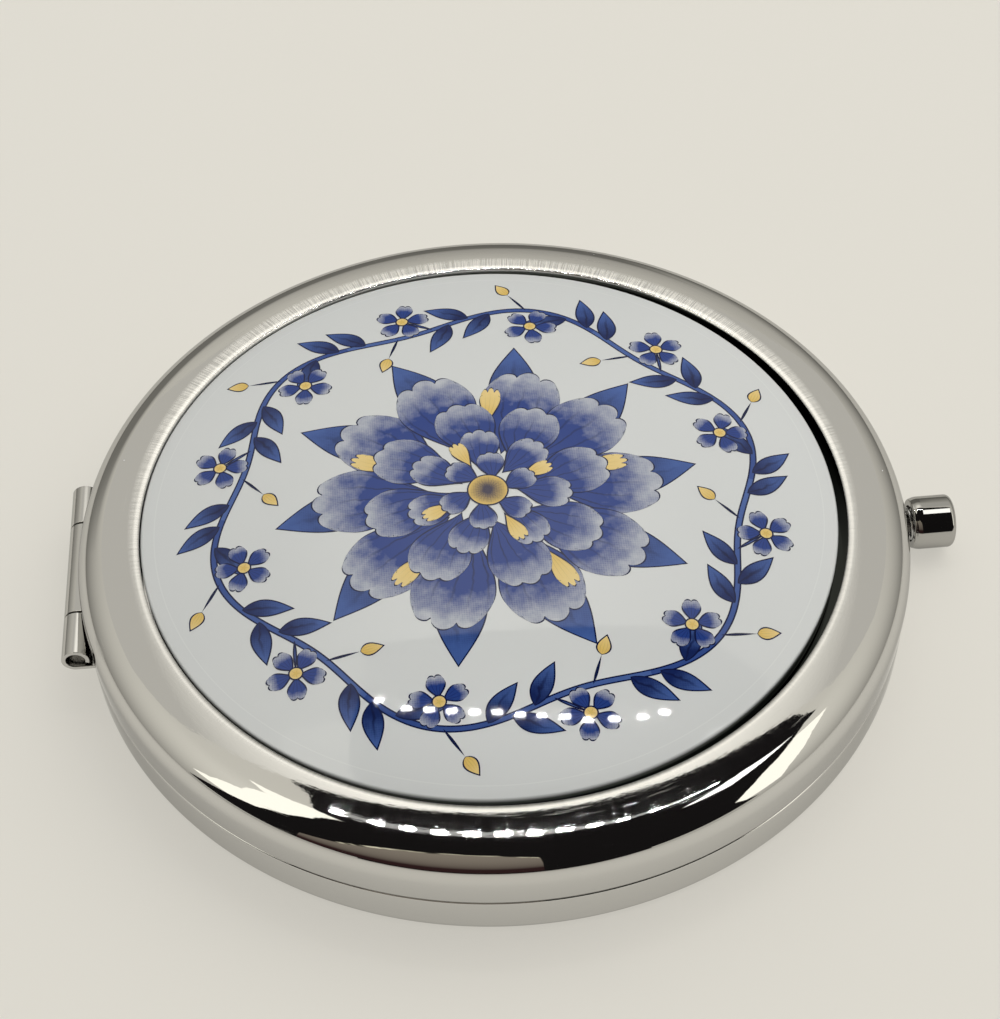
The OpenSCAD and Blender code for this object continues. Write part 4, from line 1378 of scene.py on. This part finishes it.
opening_dark = glow("dark opening", (0.010, 0.009, 0.009, 1))[0]
card("opening", LEFT_EDGE + RIGHT_EDGE + [(FAR_RIGHT, FAR_Y), (FAR_LEFT, FAR_Y)], CARD_Z, opening_dark)
start_alone()
bpy.ops.mesh.primitive_plane_add(
    size=1, location=((FAR_LEFT + FAR_RIGHT) / 2 * MM, FAR_Y * MM, CARD_Z / 2),
    rotation=(math.pi / 2, 0, 0)
)
far_card = named("opening_far")
far_card.scale = ((FAR_RIGHT - FAR_LEFT) * MM, CARD_Z, 1)
only_mirrored(far_card, opening_dark)

# %% [markdown]
# In the dark opening hangs a dim brown shape that darkens towards the front, with a thin and broken
# bright edge. The tent's own sides are brightest right beside the opening.

# %% Brown shape and bright sides
brown, tree, light = glow("brown shape", (0.34, 0.27, 0.22, 1))
fading = ramp(tree, object_place(tree)[1][1], -1.1, -0.17, 0.0, 1.0)
connect(
    tree, blended(tree, fading, (0.035, 0.016, 0.016, 1), (0.30, 0.26, 0.21, 1)), light.inputs["Color"]
)
BROWN_EDGE = [(-562, -491), (-297, -346), (-119, -201), (-58, -176), (-16, -200), (26, -290)]
card(
    "brown_shape", [(-2500, -2200)] + BROWN_EDGE + [(520, FAR_Y), (-2500, FAR_Y)],
    CARD_Z - 2 * CARD_GAP, brown
)

bright_line, tree, light = glow("bright edge line", (1.0, 0.93, 0.70, 1))
broken = noise(tree, object_place(tree)[0], 22, 2.0)
connect(tree, ramp(tree, broken, 0.42, 0.6, 0.05, 1.1), light.inputs["Strength"])
line_front = BROWN_EDGE[1:]
line_back = [(x - 2, y + 14) for x, y in reversed(line_front)]
card("bright_line", line_front + line_back, CARD_Z - 4 * CARD_GAP, bright_line)

bright_side = glow("bright tent side", (1.0, 0.97, 0.86, 1), 1.55)[0]
card("bright_left", LEFT_EDGE[2:8] + [
    (-84, 96), (-110, 40), (-210, -40), (-420, -110), (-700, -160)
], CARD_Z - 3 * CARD_GAP, bright_side)
card("bright_right", RIGHT_EDGE[3:9] + [
    (1500, -850), (720, -360), (440, -150), (290, -40), (215, 40)
], CARD_Z - 3 * CARD_GAP, bright_side)

# %% [markdown]
# Behind the opening the tent's ceiling is lit through its cloth. It is brightest just behind the
# opening and right over the middle, and falls to the level of the walls, so that its edge doesn't
# show. The worn lip catches it as a bright streaky band on the far side.

# %% Bright ceiling
CEILING_EVEN = 0.63
CEILING_BRIGHTER = 0.75
CEILING_MIDDLE = 15 * MM
ceiling, tree, light = glow("bright ceiling", (1.0, 0.970, 0.885, 1))
ceiling_x, ceiling_y = object_place(tree)[1][:2]
off_middle = calc(tree, "ABSOLUTE", minus(tree, ceiling_x, CEILING_MIDDLE))
brighter = times(
    tree, ramp(tree, ceiling_y, 0.20, 0.31, CEILING_BRIGHTER, 0.0),
    ramp(tree, off_middle, 0.03, 0.10, 1.0, 0.0)
)
connect(tree, plus(tree, brighter, CEILING_EVEN), light.inputs["Strength"])
card(
    "bright_ceiling", [(-49, 136), (95, 136), (190, 150), (190, 330), (-160, 330), (-160, 150)],
    CARD_Z - 2 * CARD_GAP, ceiling
)

# %% [markdown]
# A strip of small lamps hangs at the rear edge of the opening. Its image is the row of white spots on
# the crown and again on the disc, and each lamp's place follows from its spot. The strip itself glows
# faintly between the lamps. Its bright right-hand end is what draws the white line on the button.

# %% Strip of small lamps
LAMP_Z = 268
LAMP_LENGTH = 3.8 * MM
LAMP_WIDTH = 1.8 * MM
LAMP_WATTS = 0.0038
STRIP_HALF = 4
LAMP_SPOTS = [
    (-42, 102), (-31, 96), (-22, 94), (-13, 92), (-4, 90), (5, 89), (14, 87), (23, 86), (32, 85),
    (41, 83), (52, 83), (64, 84), (73, 86)
]
for number, (x, y) in enumerate(LAMP_SPOTS, 1):
    lamp_data = bpy.data.lights.new("strip_lamp_%02d" % number, "AREA")
    lamp_data.shape = "RECTANGLE"
    lamp_data.size = LAMP_LENGTH
    lamp_data.size_y = LAMP_WIDTH
    lamp_data.energy = LAMP_WATTS
    lamp = bpy.data.objects.new(lamp_data.name, lamp_data)
    lamp.location = Vector((x, y, LAMP_Z)) * MM
    bpy.context.scene.collection.objects.link(lamp)
strip_front = [(x, y - STRIP_HALF) for x, y in LAMP_SPOTS]
strip_back = [(x, y + STRIP_HALF) for x, y in reversed(LAMP_SPOTS)]
STRIP_Z = (LAMP_Z + 2) * MM
strip_glow = glow("lamp strip glow", (1.0, 0.99, 0.96, 1), 0.5)[0]
card("lamp_strip", strip_front + strip_back, STRIP_Z, strip_glow)
lamp_end = glow("bright end of the strip", (1.0, 0.99, 0.95, 1), 2.2)[0]
card("lamp_strip_end", [(96, -24), (134, -24), (134, 66), (96, 66)], STRIP_Z, lamp_end)
print("Lamps in the strip:", len(LAMP_SPOTS))

# %% [markdown]
# One large soft lamp stands to the right and behind. It gives the soft shadow in front of the case and
# at its left, and it isn't mirrored, because nothing like it shows in the chrome.

# %% Soft lamp
SOFT_LAMP_WATTS = 0.9
SOFT_LAMP_SIZE = 0.5
soft_data = bpy.data.lights.new("soft_lamp", "AREA")
soft_data.energy = SOFT_LAMP_WATTS
soft_data.size = SOFT_LAMP_SIZE
soft_data.color = (1.0, 0.97, 0.91)
soft_lamp = bpy.data.objects.new("soft_lamp", soft_data)
soft_lamp.location = (0.42, 0.20, 0.52)
soft_lamp.rotation_euler = (-soft_lamp.location).to_track_quat("-Z", "Y").to_euler()
soft_lamp.visible_glossy = False
bpy.context.scene.collection.objects.link(soft_lamp)
